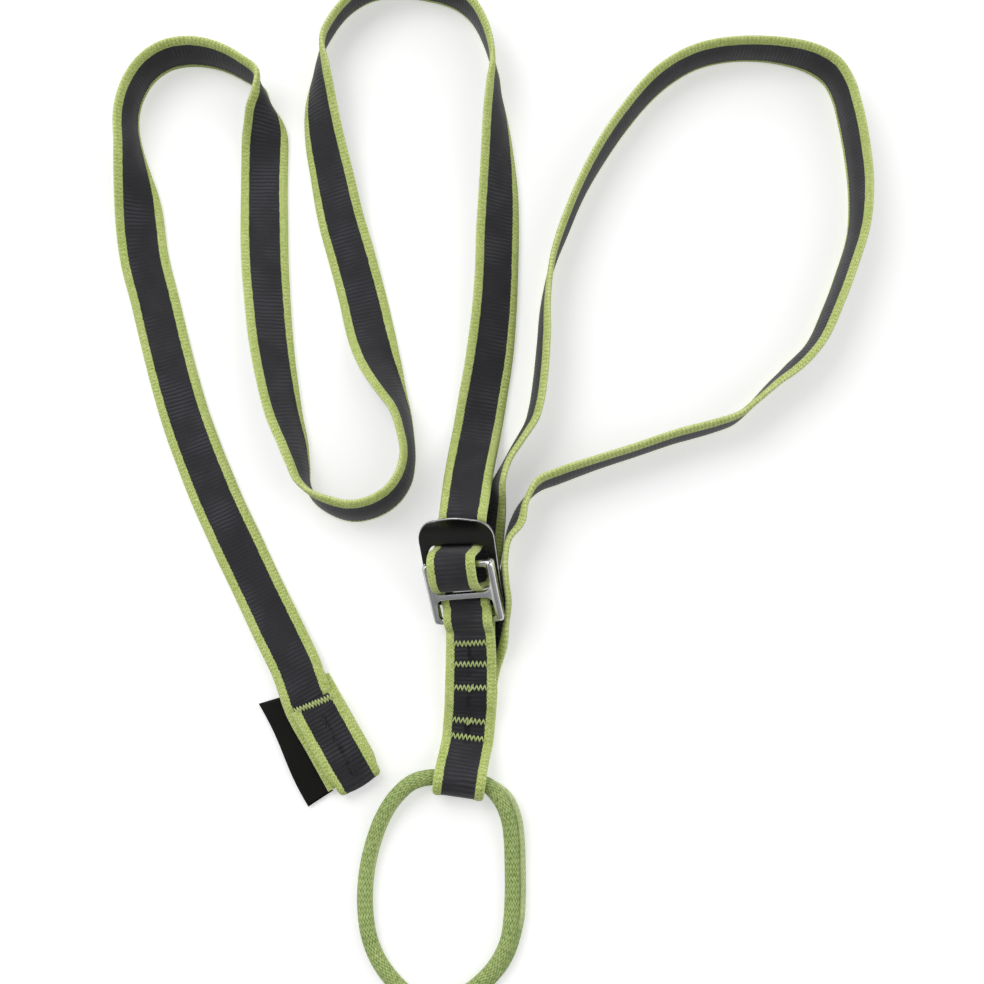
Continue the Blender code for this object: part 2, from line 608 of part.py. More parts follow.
# Sewn part: middle layer up to the plate, round its lower bar, over the frame's lower bar and down as the
# front layer, round the ring and up as the back layer
bar_fold = []
fold_steps = 6
for k in range(fold_steps + 1):
    angle = math.pi * (k / fold_steps - 1 / 2)
    spot = Vector((0.0, math.cos(angle), math.sin(angle))) * (LAYER_STEP + GAP)
    spot.x = BAR_FOLD_ASIDE
    bar_fold.append(plain_row(buckle @ spot, -buckle_side))
eye_side = -Vector((math.cos(EYE_TURN), math.sin(EYE_TURN), 0.0))
eye_forward = UP.cross(eye_side)
eye_rows = arc_rows(EYE_CENTRE, eye_forward, eye_side, EYE_RADIUS, EYE_LEAVES_AT, -math.pi / 2)
front_rows = turned_over(route_rows(SEWN_FRONT_ROUTE, ROW_SPACING))
middle_rows = route_rows(SEWN_MIDDLE_ROUTE, ROW_SPACING)
back_rows = route_rows(SEWN_BACK_ROUTE, ROW_SPACING)
sewn_rows = joined(middle_rows, bar_fold, buckle_rows(SEWN_FOLD_AWAY), front_rows, eye_rows, back_rows)
strip("sewn_webbing", sewn_rows, green_webbing)
loop_aside = PLATE_HALF_WIDTH - ROUTE_PLATE_HALF_WIDTH
strip("foot_loop_webbing", route_rows(LOOP_ROUTE, ROW_SPACING, loop_aside), green_webbing)

# Free tail: up through the buckle, over the frame's top bar, under the tab and away to the sewn end
end_side = UP.cross(END_DIRECTION)
strap_end = END_FOLD_CENTRE - end_side * END_SHIFT
strap_end_marks = [strap_end - END_DIRECTION * reach for reach in (END_TOP_LENGTH, END_TOP_LENGTH / 2, GAP)]
strap_end_rows = [plain_row(mark + UP * (LAYER_STEP + HALF_THICKNESS), end_side) for mark in strap_end_marks]
tail_rows = joined(buckle_rows(TAIL_WAY), route_rows(TAIL_ROUTE, ROW_SPACING), strap_end_rows)
strip("tail_webbing", tail_rows, green_webbing)

# End piece folded round the strap's end
end_fold = END_FOLD_CENTRE + UP * (LAYER_STEP + HALF_THICKNESS)
end_top = plain_row(end_fold - END_DIRECTION * END_TOP_LENGTH + UP * LAYER_STEP, end_side)
end_under = plain_row(end_fold - END_DIRECTION * END_UNDER_LENGTH - UP * LAYER_STEP, end_side)
fold_round = arc_rows(end_fold, END_DIRECTION, end_side, LAYER_STEP, math.pi / 2, -math.pi / 2)
strip("tail_end_cap", [end_top, *fold_round, end_under], green_webbing)

# Seams of the end: a zigzag across the end piece's cut edge and a dashed line along its middle
on_end = UP * (2 * LAYER_STEP + WEBBING_THICKNESS + THREAD_RADIUS + GAP)
seam_centre = END_FOLD_CENTRE - END_DIRECTION * (END_TOP_LENGTH - TACK_HEIGHT) + on_end
seam_side = Matrix.Rotation(END_SEAM_TURN, 3, "Z") @ end_side
seam_points = zigzag(seam_centre, seam_side, END_DIRECTION, END_SEAM_WIDTH, TACK_HEIGHT, END_SEAM_ZIGZAGS)
thread("end_seam", seam_points, thread_look)
line_end = END_FOLD_CENTRE + on_end
line_points = [line_end - END_DIRECTION * CENTRE_STITCH_LENGTH, line_end]
thread("centre_seam", line_points, dark_thread)

# Label sewn in beside the end
label_start = strap_end - END_DIRECTION * LABEL_LENGTH - end_side * (HALF_WIDTH - LABEL_TUCK)
label_stop = strap_end - end_side * (HALF_WIDTH - LABEL_TUCK)
label_rows = []
for place, width in ((label_start, LABEL_WIDTH_TOP), (label_stop, LABEL_WIDTH_FOOT)):
    label_rows.append([place + UP * LABEL_DROP, place - end_side * width + UP * LABEL_THICKNESS])
strip("tail_label", label_rows, label_look, LABEL_THICKNESS)

# Bar tacks through the sewn part
for number, tack_row in enumerate(TACK_ROWS, 1):
    spot, side, run = stand_on(sewn_rows, tack_row)
    thread(f"bar_tack_{number}", zigzag(spot, side, run, TACK_WIDTH, TACK_HEIGHT, TACK_ZIGZAGS), thread_look)

# Buckle: the plate turns about its lower bar, the frame sits in the folds above it
shift = Matrix.Translation(-MIDDLE)
plate_hinge = empty("plate_hinge", shift @ buckle)
make_plate(plate_hinge, black_metal)
frame_shift = Vector((FRAME_CROSSBAR_ASIDE, FRAME_CROSSBAR_AHEAD, FRAME_CROSSBAR_LIFT))
frame_place = Matrix.Translation(frame_shift)
frame_turn = Matrix.Rotation(FRAME_TURN, 4, "Z") @ Matrix.Rotation(FRAME_PITCH, 4, "X")
frame_mount = empty("frame_mount", shift @ buckle @ frame_place @ frame_turn)
make_frame(frame_mount, bright_metal)

# Ring with its lapped outer ply, hanging in the eye
ring_hinge = empty("ring_hinge", Matrix.Translation(EYE_CENTRE - MIDDLE))
ring_section = oval_profile("ring_section", RING_TAPE_WIDTH, RING_TAPE_HEIGHT)
ring_line = ring_points(RING_ROUTE, RING_POINT_SPACING)
tape("ring_tape", ring_line, ring_section, ring_look, ring_hinge, EYE_CENTRE, True)
lap_route = RING_ROUTE[RING_LAP_FIRST:RING_LAP_LAST + 1]
lap_out = (RING_TAPE_WIDTH + RING_LAP_WIDTH) / 2 + GAP
marks = [[Vector((x, y, lift)) * MILLIMETRE + UP * RING_LAP_HEIGHT / 2] for x, y, lift in lap_route]
centre_line = [row[0] for row in smooth_rows(marks, RING_POINT_SPACING)]
lap_points = []
for i, place in enumerate(centre_line):
    run = centre_line[min(i + 1, len(centre_line) - 1)] - centre_line[max(i - 1, 0)]
    lap_points.append(place + UP.cross(run).normalized() * lap_out)
lap_section = oval_profile("lap_section", RING_LAP_WIDTH, RING_LAP_HEIGHT)
tape("ring_lap", lap_points, lap_section, ring_look, ring_hinge, EYE_CENTRE, False)
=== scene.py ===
import math

import bmesh
import bpy
import numpy as np
from mathutils import Matrix, Vector, noise


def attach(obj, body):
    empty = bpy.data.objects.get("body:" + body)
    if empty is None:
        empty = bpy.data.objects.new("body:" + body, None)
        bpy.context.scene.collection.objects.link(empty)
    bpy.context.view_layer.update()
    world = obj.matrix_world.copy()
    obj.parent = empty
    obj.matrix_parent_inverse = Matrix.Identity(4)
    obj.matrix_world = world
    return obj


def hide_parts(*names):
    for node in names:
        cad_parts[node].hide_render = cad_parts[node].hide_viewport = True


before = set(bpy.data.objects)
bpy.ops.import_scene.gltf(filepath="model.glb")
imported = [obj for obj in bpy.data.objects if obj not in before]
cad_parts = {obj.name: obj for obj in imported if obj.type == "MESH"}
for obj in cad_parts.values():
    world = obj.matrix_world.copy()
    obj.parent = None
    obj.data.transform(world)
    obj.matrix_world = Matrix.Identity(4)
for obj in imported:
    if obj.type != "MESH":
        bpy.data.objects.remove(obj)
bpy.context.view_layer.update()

# The table's centre in the coordinates of the routes below, in metres
MIDDLE = np.array((-0.0025, 0.0112, 0.0))
MILLIMETRE = 0.001

# Camera at the photograph's angle
CAMERA_PLACE = (0.0025, -0.1083, 0.4905)
CAMERA_TILT = math.radians(11.2)
CAMERA_LENS = 45.73
CAMERA_NEAR = 0.01

# Webbing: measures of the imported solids, and the finer ones of the woven strap
HALF_WIDTH = 0.01
WEBBING_THICKNESS = 0.0022
HALF_THICKNESS = WEBBING_THICKNESS / 2
GAP = 0.0003
LAYER_STEP = WEBBING_THICKNESS + GAP
ROW_SPACING = 0.0065
FINE_SPACING = 0.0005
RIB_PITCH = 0.0016
ROWS_PER_RIB = 3
STRAP_SPACING = RIB_PITCH / ROWS_PER_RIB
RIB_DEPTH = 0.00007
STRAP_HALF_WIDTH = 0.00978
WOVEN_HALF_THICKNESS = 0.00086
SELVAGE_START = 0.0063
SELVAGE_SHARE = 0.62
SELVAGE_RIB_DEEPER = 1.2
SWAY_SHARE = 0.012
SWAYS_PER_METRE = 60
SWAY_SEED = 3.7
TABLE_EASE_ROWS = 20
# Distance from the strap's middle and half thickness there, as shares of the half width and in metres
STRAP_SECTION = (
    (0.0, WOVEN_HALF_THICKNESS), (0.3, WOVEN_HALF_THICKNESS), (0.58, 0.00087), (0.645, 0.001),
    (0.71, 0.00116), (0.81, 0.00122), (0.9, 0.00108), (0.965, 0.0007), (1.0, 0.0),
)
# Where the strap stands on edge its upper half leans back and its lower half tucks under
EDGE_CURL = math.radians(12)
CURL_RANGE = (0.45, 0.95)
CURL_FACING = 6
SAME_ROLL = 0.01

# Buckle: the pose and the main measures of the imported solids, and the finer shapes of its parts
PLATE_POSITION = (-0.0112, -0.0449, 0.0089)
BUCKLE_TURN = math.radians(-1.5)
BUCKLE_TILT = math.radians(17)
BUCKLE_PITCH = math.radians(22)
BAR_FOLD_ASIDE = 0.002
PLATE_THICKNESS = 0.0022
PLATE_LEG_WIDTH = 0.002
PLATE_BAR_WIDTH = 0.0022
PLATE_WINDOW_LENGTH = 0.0215
PLATE_TAB_LENGTH = 0.0108
PLATE_TAB_CORNER = 0.0078
PLATE_TAB_CROWN = 0.0006
PLATE_TAB_RISE = 0.0024
PLATE_FOOT_ASIDE = 0.0014
PLATE_FOOT_BROADER = 0.0017
PLATE_FOOT_INSET = 0.0008
PLATE_NECK_BROADER = 0.0013
PLATE_NECK_CORNER = 0.004
PLATE_FOOT_CORNER = 0.001078
PLATE_CROWN_BULGE = 0.0009
PLATE_TAB_ASIDE = -0.0008
PLATE_WINDOW_CORNER = 0.002
PLATE_EDGE_ROUND = 0.00055
PLATE_RISE_START = 0.004
PLATE_HALF_WIDTH = 0.0154
PLATE_GIRTH = 0.03
PLATE_WAY_ROUND = 0.09
PLATE_OUTLINE_STEPS = (10, 18)
PLATE_ROUND_STEPS = 5
PLATE_ACROSS_STEPS = 12
# Wear on the plate's rim: its width, the run over which it grows at the tab, and its strengths
WEAR_WIDTH = 0.0012
WEAR_RUN = 0.006
WEAR_BELOW_TAB = 0.35
WEAR_UNDERSIDE = 0.2
WEAR_LEGS = (0.2625, 0.75)
FRAME_HALF_WIDTH = 0.0142
FRAME_RAIL_WIDTH = 0.003
FRAME_BAR_THICKNESS = 0.0022
FRAME_BAR_WIDTH = 0.0022
FRAME_CROSSBAR_WIDTH = 0.0026
FRAME_TOP_BAR_OFFSET = 0.0126
FRAME_LOWER_BAR_OFFSET = 0.0104
FRAME_RAIL_BELOW = 0.003
FRAME_RAIL_ABOVE = 0.0016
FRAME_PITCH = math.radians(10.5)
FRAME_TURN = math.radians(3.5)
FRAME_CROSSBAR_ASIDE = 0.0024
FRAME_CROSSBAR_AHEAD = 0.004
FRAME_CROSSBAR_LIFT = 0.0055
FRAME_CORNER = 0.003
FRAME_LOWER_WINDOW_CORNERS = (0.0012, 0.0022)
FRAME_UPPER_WINDOW_CORNERS = (0.0026, 0.0014)
# Each rail's slabs: inset, corner, and how far they stop short of the rail's foot and of its top
RAIL_SLABS = ((0.0, 0.0014, 0.0006, 0.0008), (0.00045, 0.001, 0.0003, 0.0004), (0.0009, 0.001, 0.0, 0.0))
WELD_DISTANCE = 0.0000005
MELT_VOXEL = 0.00022
EASE_ROUNDS = 26

# Ring and the eye that holds it
RING_WIDTH = 0.006
RING_HEIGHT = 0.0044
RING_SPACING = 0.001
RING_SIDES = 28
LAP_WIDTH = 0.0024
LAP_HEIGHT = 0.0036
LAP_SIDES = 16
LAP_MARKS = 10
LAP_OVERLAP = 0.0004
# The lap starts thin and drawn in, and sinks into the ring again further along, as shares of its length
LAP_START = 0.16
LAP_START_SIZE = 0.15
LAP_END = 0.02
LAP_END_SIZE = 0.7
LAP_START_INSET = 0.0012
LAP_SINK = (0.66, 0.76)
LAP_SINK_INSET = 0.0008
LAP_FADE = (0.66, 0.74)
# Painted highlight: a paler band painted on the inner side of the ring's left limb, standing in for its lit
# side face
HIGHLIGHT_LEFT_OF = (-0.018, -0.03)
HIGHLIGHT_BELOW = (-0.116, -0.122)
HIGHLIGHT_ABOVE = (-0.156, -0.146)
HIGHLIGHT_LEAN = (0.62, 0.78)
HIGHLIGHT_UNDER = -0.75
EYE_CENTRE = (-0.0122, -0.1127, 0.006)
EYE_TURN = math.radians(-8)
EYE_RADIUS = EYE_CENTRE[2] - HALF_THICKNESS
EYE_LEAVES_AT = math.radians(130)

# Stitching and the tail's end
THREAD_RADIUS = 0.00026
THREAD_SIDES = 8
STITCH_SHARES = (0.0, 0.2, 0.5, 0.8)
STITCH_ARCH = 0.00055
STITCH_DIVE = 0.0003
STITCH_UNEVEN = 0.25
STITCH_WANDER = 0.0002
SHAKE_STEP = 1.7
SHAKE_SEED = 1
TACK_ROWS = (-0.061, -0.0687, -0.0774, -0.0902, -0.0964)
TACK_WIDTH = 0.014
TACK_HEIGHT = 0.0022
TACK_ZIGZAGS = 9
# A loose thread on two of the tacks: across the strap, along it and up from it, in millimetres
TUFTED_TACKS = (3, 4)
TUFT = (
    (0.4, 0.3, 0), (0.7, 1.0, 0.4), (0.5, 1.6, 0.6), (-0.1, 1.0, 0.9), (-0.8, 0.2, 0.6),
    (-0.6, -0.9, 0.5), (-1.1, -1.3, 0.3), (-0.7, -0.4, 0),
)
END_DIRECTION = (0.51, -0.86, 0.0)
END_FOLD_CENTRE = (-0.0514, -0.1108, 0.0)
END_TOP_LENGTH = 0.0328
END_UNDER_LENGTH = 0.04
END_SHIFT = 0.0023
CAP_BULGE_RUN = 0.007
CAP_BULGE = 0.0017
CAP_DRAWN_IN = 0.0006
CAP_CORNER_ROUND = 0.0011
# Painted crease shade on the top of the tail's end: where it starts, the run over which it fades before the
# top's end, and its strength
CAP_CREASE_SHADE_FROM = (0.005, 0.007)
CAP_CREASE_SHADE_END_RUN = 0.003
CAP_CREASE_SHADE_STRENGTH = 0.8
END_SEAM_TURN = math.radians(-9)
END_SEAM_INSET = 0.0012
END_SEAM_WIDTH = 0.016
END_SEAM_HEIGHT = 0.0024
END_SEAM_ZIGZAGS = 13
END_SEAM_SEED = 11
CENTRE_STITCH_LENGTH = 0.025
CENTRE_STITCHES = 9
CENTRE_STITCH_SHARES = (0.0, 0.12, 0.3, 0.5, 0.7)
CENTRE_STITCH_FULL = 0.78
CENTRE_STITCH_LANDS = 0.6
CENTRE_STITCH_ARCH = 0.0006
CENTRE_STITCH_DIVE = 0.0002
LABEL_LENGTH = 0.041
LABEL_WIDTH_TOP = 0.0086
LABEL_WIDTH_FOOT = 0.0108
LABEL_TUCK = 0.0017
LABEL_THICKNESS = 0.0003
LABEL_LIFT = 0.001
LABEL_TUCK_LIFT = 0.0004
LABEL_BOW = 0.0007
LABEL_FOOT_LIFT = 0.0004
LABEL_TOP_SKEW = 0.0022
LABEL_FOOT_ROUND = 0.0005
LABEL_SWAY = 0.0005
LABEL_SWAY_BIAS = 0.0002
LABEL_GIRTH = 0.02
LABEL_ROWS = 40
LABEL_COLUMNS = 12

# Routes of the strap and the ring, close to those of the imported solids: x, y and lift in millimetres,
# then the roll in degrees, or the rolls of the low and the high edge
SEWN_MIDDLE_ROUTE = (
    (-8.4, -81, 2.5, 0), (-8.2, -74.8, 2.8, -1), (-8.1, -67.2, 3.1, -6), (-8.2, -60, 3.4, -13),
)
SEWN_FRONT_ROUTE = (
    (-8.2, -60, 6, 13), (-8.1, -67.2, 5.7, 6), (-8.2, -74.8, 5.3, 1), (-8.3, -81.6, 5, 0),
    (-8.4, -84.4, 4.1, 0), (-8.6, -87.6, 2.9, 0), (-8.9, -91, 2.5, 0), (-9.4, -97, 2.5, 0),
    (-10.5, -103, 4.6, 0),
)
SEWN_BACK_ROUTE = (
    (-10.9, -104.5, 0, 0), (-9.2, -97, 0, 0), (-8.3, -88, 0, 0), (-7.9, -82.6, 0, 0), (-7.7, -78.7, 0, 0),
)
LOOP_ROUTE = (
    (-7.7, -78.3, 0, 180), (-7.5, -74.4, 0, 180), (-6.6, -70, 0, 180),
    (-5.3, -65.4, 0, 180, 177), (-2.3, -59.6, 0, 178, 155), (2.6, -52.5, 0, 175, 110),
    (5.5, -45.2, 0, 140, 92), (5.1, -37.6, 0.2, 108, 90), (5, -29.8, 0, 91, 90), (5.9, -22, 0, 92, 92.5),
    (8.4, -13.9, 0, 104), (12.2, -6.4, 0, 97), (18.7, -0.2, 0, 88),
    (26.4, 3, 0, 86), (41.8, 8.6, 0, 89), (57.2, 13.7, 0, 90), (72.9, 19.1, 0, 90),
    (88.5, 23.6, 0, 91), (97, 27.4, 0, 92), (102.9, 33.1, 0, 93),
    (112.1, 42.9, 0, 99), (120.8, 51, 0, 105), (127.9, 58.5, 0, 102),
    (136.1, 74.4, 0, 101), (142.8, 90.9, 0, 101), (148.4, 107.7, 0, 101),
    (150.3, 124.8, 0, 103), (149.7, 142.1, 0, 103), (147.5, 159.6, 0, 102),
    (145.6, 168.7, 0, 100), (141.7, 176.9, 0, 97), (134.5, 182.3, 0, 94),
    (123.3, 185.7, 0, 91), (110.9, 187, 0, 89), (98.4, 186.3, 0, 90),
    (87.7, 183.7, 0, 93), (77.6, 178.4, 0, 97), (67.5, 169.9, 0, 99),
    (58.6, 159.2, 0, 99), (46.7, 141.5, 0, 98), (37.6, 124.4, 0, 95),
    (30.6, 107.2, 0, 94), (24.2, 90.5, 0, 89), (20.6, 73.8, 0, 84),
    (19.1, 57.3, 0, 80), (17.5, 41.2, 0, 78), (14.4, 26.7, 0, 78), (9.6, 17.7, 0, 80),
    (5, 9.4, 0, 82), (2.4, 1.6, 0.4, 70, 76), (-1.2, -5.5, 0, 12, 46), (-3.4, -12.8, 0, 9, 27),
    (-4.5, -19.6, 0, 9, 18), (-5.3, -24.4, 0, 12, 15), (-6, -28.8, 0, 14, 16),
)
TAIL_ROUTE = (
    (-10.5, -6.2, 11.5, -14), (-9.4, 3, 8.4, -11), (-8, 12.4, 4.7, -7), (-6.3, 22.6, 1.3, -2),
    (-3.9, 37.2, 0.15, 5), (-1.2, 54, 0, 12), (0.7, 71, 0, 20), (1.8, 88.3, 0, 24), (2.3, 105.8, 0, 25),
    (2.8, 123.5, 0, 32), (3.1, 141.4, 0, 46), (2.9, 159.6, 0, 62), (2.4, 170, 0, 75),
    (1.2, 179, 0, 83), (-1.3, 187.2, 0, 88), (-4.2, 196, 0, 90), (-9.4, 205.8, 0, 90),
    (-16.5, 211.8, 0, 90), (-28, 215.6, 0, 90), (-41, 216.9, 0, 88), (-52, 214.3, 0, 84),
    (-60.8, 207.3, 0, 80), (-67.8, 197, 0, 81), (-71.8, 187.2, 0, 78), (-73.3, 178.6, 0, 66),
    (-73, 168, 0, 48), (-70.6, 151.5, 0, 32), (-66.8, 133.4, 0, 21), (-62.9, 115.5, 0, 10),
    (-57.8, 97.8, 0, 4), (-53.1, 80.4, 0, 0), (-49.1, 64.2, 0, -9), (-45.2, 52, 0, -30),
    (-39.8, 41, 0, -52), (-35.4, 32, 0, -68), (-32.9, 22, 0, -76), (-31.8, 11.5, 0, -80),
    (-33.6, 2.8, 0, -78), (-38.4, -4.4, 0, -77), (-45.8, -9.2, 0, -77), (-55, -11, 0, -78),
    (-64, -8.6, 0, -82), (-71, -2.7, 0, -91), (-74.8, 8.6, 0, -108), (-77.8, 18.8, 0, -121),
    (-81.7, 29, 0, -131), (-86, 45, 0, -140), (-89.5, 62.7, 0, -148), (-91.8, 80.4, 0, -155),
    (-93.6, 97.8, 0, -164), (-94.7, 115.5, 0, -172), (-95.4, 133.4, 0, -176), (-95.2, 149, 0, -162),
    (-94.4, 159, 0, -132), (-94.8, 166.4, 0, -102), (-98.4, 173, 0, -90), (-105.4, 178.4, 0, -86),
    (-112.2, 182.3, 0, -84), (-120, 184.9, 0, -83), (-128.6, 185.6, 0, -83), (-137, 183.6, 0, -84),
    (-143.5, 178.6, 0, -84), (-148, 171.2, 0, -82), (-150.4, 162.6, 0, -79), (-150.6, 153.6, 0, -74),
    (-149, 143.6, 0, -67), (-147.6, 134, 0, -54), (-146.8, 124.4, 0, -37), (-146, 114.6, 0, -21),
    (-143.6, 98, 0, -9), (-138.7, 80.4, 0, -3), (-134, 63.2, 0, 0), (-129, 46.2, 0, 0),
    (-123.4, 29.4, 0, 0), (-116.8, 12.9, 0, 0), (-109.6, -3.4, 0, 0), (-101.6, -19.6, 0, 0),
    (-93.4, -35.8, 0.2, 0), (-85.2, -51.6, 1.2, 0), (-76.8, -67.4, 2.5, 0),
)
RING_ROUTE = (
    (-1.4, -114.3, 3.7), (3.2, -119.4, 3.1), (6.4, -126.9, 1.9), (7.4, -134.2, 1), (7.7, -143, 0.2),
    (7.7, -155, 0), (7.2, -163, 0), (6, -170.2, 0), (2.9, -177, 0), (-3.4, -184.4, 0),
    (-10.7, -189.6, 0), (-20.2, -192.3, 0), (-30.1, -189.8, 0), (-37.2, -183.8, 0), (-42.3, -177, 0),
    (-45.4, -170, 0), (-47.3, -160, 0), (-47.4, -150, 0), (-46.3, -141.4, 0.1),
    (-44.4, -134, 0.5), (-41.6, -126.6, 1.3), (-36.4, -118.4, 2.5), (-29.8, -112.8, 3.4),
    (-23, -111.1, 3.8), (-12.2, -112.7, 3.8),
)
# Ways past the buckle's bars, in millimetres in the plate's own frame
SEWN_FOLD_AWAY = (
    (2.5, -1.6, 3.1), (2.9, -2.9, 4.5), (3.3, -4.3, 6), (3.4, -6.2, 6.6), (3.4, -8.3, 5.9),
    (3.2, -10.4, 4.1),
)
TAIL_WAY = (
    (3, 11.8, -8.6), (2.8, 9.3, -7.8), (2.6, 7.3, -6.2), (2.3, 6.1, -4), (2, 5.9, -1.5),
    (1.7, 6.2, 1.2), (1.3, 6.6, 3.9), (1.1, 6.8, 6.6), (0.9, 7.7, 9.2), (0.7, 10.4, 11.2),
    (0.6, 14, 11.9), (0.4, 17.5, 11.6), (0.2, 19.8, 10.2), (0, 20.6, 7.8), (-0.2, 20.7, 5.2),
    (-0.3, 20.7, 2.6), (-0.4, 20.9, 0.2), (-0.3, 21.6, -1.8), (0.1, 23, -2.9), (0.6, 25.2, -3.1),
    (1.1, 28.2, -3.1), (1.6, 31.4, -3.2),
)
WAY_UNDER_TAB = 18
WAY_IN_FRAME = (4, 13)
# Which of the strap's stretches, in their order, some pieces start from
FRONT_STRETCH = 3
EYE_STRETCH = 4
LOOP_STRETCH = 6
WAY_STRETCH = 7
# Painted crease shade on the sewn part's front layer: the rows over which it eases in, and how far before the
# eye it stops
CREASE_SHADE_EASE_ROWS = 8
CREASE_SHADE_STOPS_BEFORE_EYE = 0.012

UP = np.array((0.0, 0.0, 1.0))
SCENE = bpy.context.scene


def unit(vectors):
    vectors = np.asarray(vectors, float)
    return vectors / np.linalg.norm(vectors, axis=-1, keepdims=True)


def ramp(value, start, end):
    """Goes from 0 to 1 as the value goes from start to end."""
    return np.clip((value - start) / (end - start), 0.0, 1.0)


def smooth(marks, spacing):
    """Rows joined by one smooth curve, guided by their first three values, and where each mark is in them."""
    marks = np.asarray(marks, float)
    lengths = np.linalg.norm(np.diff(marks[:, :3], axis=0), axis=1)
    out = []
    places = []
    for i, length in enumerate(lengths):
        steps = max(1, round(length / spacing))
        first = marks[i]
        second = marks[i + 1]
        run_in = run_out = second - first
        if i > 0:
            ratio = length / lengths[i - 1]
            run_in = ((first - marks[i - 1]) * ratio**2 + run_in) / (1 + ratio)
        if i + 2 < len(marks):
            ratio = length / lengths[i + 1]
            run_out = (run_out + (marks[i + 2] - second) * ratio**2) / (1 + ratio)
        places.append(len(out))
        for step in range(steps):
            t = step / steps
            start = first * (2 * t**3 - 3 * t**2 + 1) + run_in * (t**3 - 2 * t**2 + t)
            out.append(start + second * (3 * t**2 - 2 * t**3) + run_out * (t**3 - t**2))
    places.append(len(out))
    out.append(marks[-1])
    return np.array(out), places


def edge_curl(place, left, roll):
    """The curl of the strap's edges at a place, towards the face that the camera sees."""
    seen = place - MIDDLE - np.array(CAMERA_PLACE)
    slope = float(np.dot(seen, left) / seen[2])
    upright = ramp(abs(math.sin(roll)), *CURL_RANGE)
    upright = upright * upright * (3 - 2 * upright)
    facing = np.clip((math.cos(roll) - slope * math.sin(roll)) * CURL_FACING, -1.0, 1.0)
    return EDGE_CURL * upright * facing


def route_rows(route):
    """Cross rows along a route on the table: middle, low edge and high edge, nine values each."""
    marks = []
    for x, y, lift, *rolls in route:
        low_roll, high_roll = np.radians((rolls[0], rolls[-1]))
        marks.append((x * MILLIMETRE, y * MILLIMETRE, 0.0, low_roll, high_roll, lift * MILLIMETRE))
    steps, _ = smooth(marks, ROW_SPACING)
    rows = []
    for i, step in enumerate(steps):
        place = step[:3]
        low_roll, high_roll, lift = step[3:]
        heading = (steps[min(i + 1, len(steps) - 1)] - steps[max(i - 1, 0)])[:3]
        left = unit(np.cross(UP, heading))
        curl = edge_curl(place, left, low_roll) if abs(high_roll - low_roll) < SAME_ROLL else 0.0
        turns = (low_roll + curl, high_roll - curl)
        low, high = (left * math.cos(turn) + UP * math.sin(turn) for turn in turns)
        stand = HALF_WIDTH * max(low[2], -high[2], 0.0)
        lean = HALF_THICKNESS * max(abs(math.cos(low_roll)), abs(math.cos(high_roll)))
        middle = place + UP * (lift + stand + lean)
        rows.append(np.concatenate((middle, middle - low * HALF_WIDTH, middle + high * HALF_WIDTH)))
    return np.array(rows)


def turned_over(rows):
    return rows[:, [0, 1, 2, 6, 7, 8, 3, 4, 5]]


def plain_row(middle, side):
    return np.concatenate((middle, middle - side * HALF_WIDTH, middle + side * HALF_WIDTH))


def arc_rows(centre, forward, side, radius, start, end, count):
    """Cross rows on an upright arc round a centre."""
    rows = []
    for angle in np.linspace(start, end, count + 1):
        spoke = forward * math.cos(angle) + UP * math.sin(angle)
        rows.append(plain_row(centre + spoke * radius, side))
    return np.array(rows)


def even_rows(marks):
    """Rows at the strap's own spacing along marks, the place of each row, and the place of each mark."""
    fine, places = smooth(marks, FINE_SPACING)
    steps = np.linalg.norm(np.diff(fine[:, :3], axis=0), axis=1)
    reached = np.concatenate(([0.0], np.cumsum(steps)))
    stations = np.arange(0.0, reached[-1], STRAP_SPACING)
    rows = np.stack([np.interp(stations, reached, column) for column in fine.T], axis=1)
    return rows, stations, reached[places]


def strap_grid(rows):
    """The woven strap's surface round its cross rows, and the place of each of its long lines across."""
    middle = rows[:, None, 0:3]
    low = unit(rows[:, 3:6] - rows[:, 0:3])[:, None]
    high = unit(rows[:, 6:9] - rows[:, 0:3])[:, None]
    shares, heights = np.array(STRAP_SECTION).T
    across = np.concatenate((-shares[:0:-1], shares))[None, :, None]
    height = np.concatenate((heights[:0:-1], heights))
    number = np.arange(len(rows))
    spots = [Vector((k * STRAP_SPACING * SWAYS_PER_METRE, SWAY_SEED, 0.0)) for k in number]
    sway = np.array([noise.noise(spot) for spot in spots])
    reach = (STRAP_HALF_WIDTH * (1 + SWAY_SHARE * sway))[:, None, None]
    spread = (high - low) / 2 * reach
    bow = (high + low) / 2 * reach
    place = middle + spread * across + bow * across**2
    normal = unit(np.cross(spread + 2 * bow * across, np.gradient(place, axis=0)))
    groove = np.where(number % ROWS_PER_RIB == 0, RIB_DEPTH, 0.0)[:, None]
    groove = groove * np.where(np.abs(across[:, :, 0]) > SELVAGE_SHARE, SELVAGE_RIB_DEEPER, 1.0)
    inside = (height > RIB_DEPTH * 3) * groove
    lift = np.maximum(height - inside, 0.0)[:, :, None] * normal
    under = (place - lift)[:, -2:0:-1]
    skin = np.concatenate((place + lift, under), axis=1) - MIDDLE
    arc = np.concatenate(([0.0], np.cumsum(np.hypot(np.diff(shares) * STRAP_HALF_WIDTH, np.diff(heights)))))
    lines = np.concatenate((-arc[:0:-1], arc))
    lines = np.concatenate((lines, lines[-2:0:-1], lines[:1]))
    # Rows that would sink into the table are lifted, and their neighbours with them
    sunk = np.maximum(-skin[:, :, 2].min(axis=1), 0.0)
    kernel = np.hanning(2 * TABLE_EASE_ROWS + 1)
    eased = np.convolve(np.pad(sunk, TABLE_EASE_ROWS, mode="edge"), kernel / kernel.sum(), mode="valid")
    skin[:, :, 2] += np.maximum(sunk, eased)[:, None]
    return skin, lines


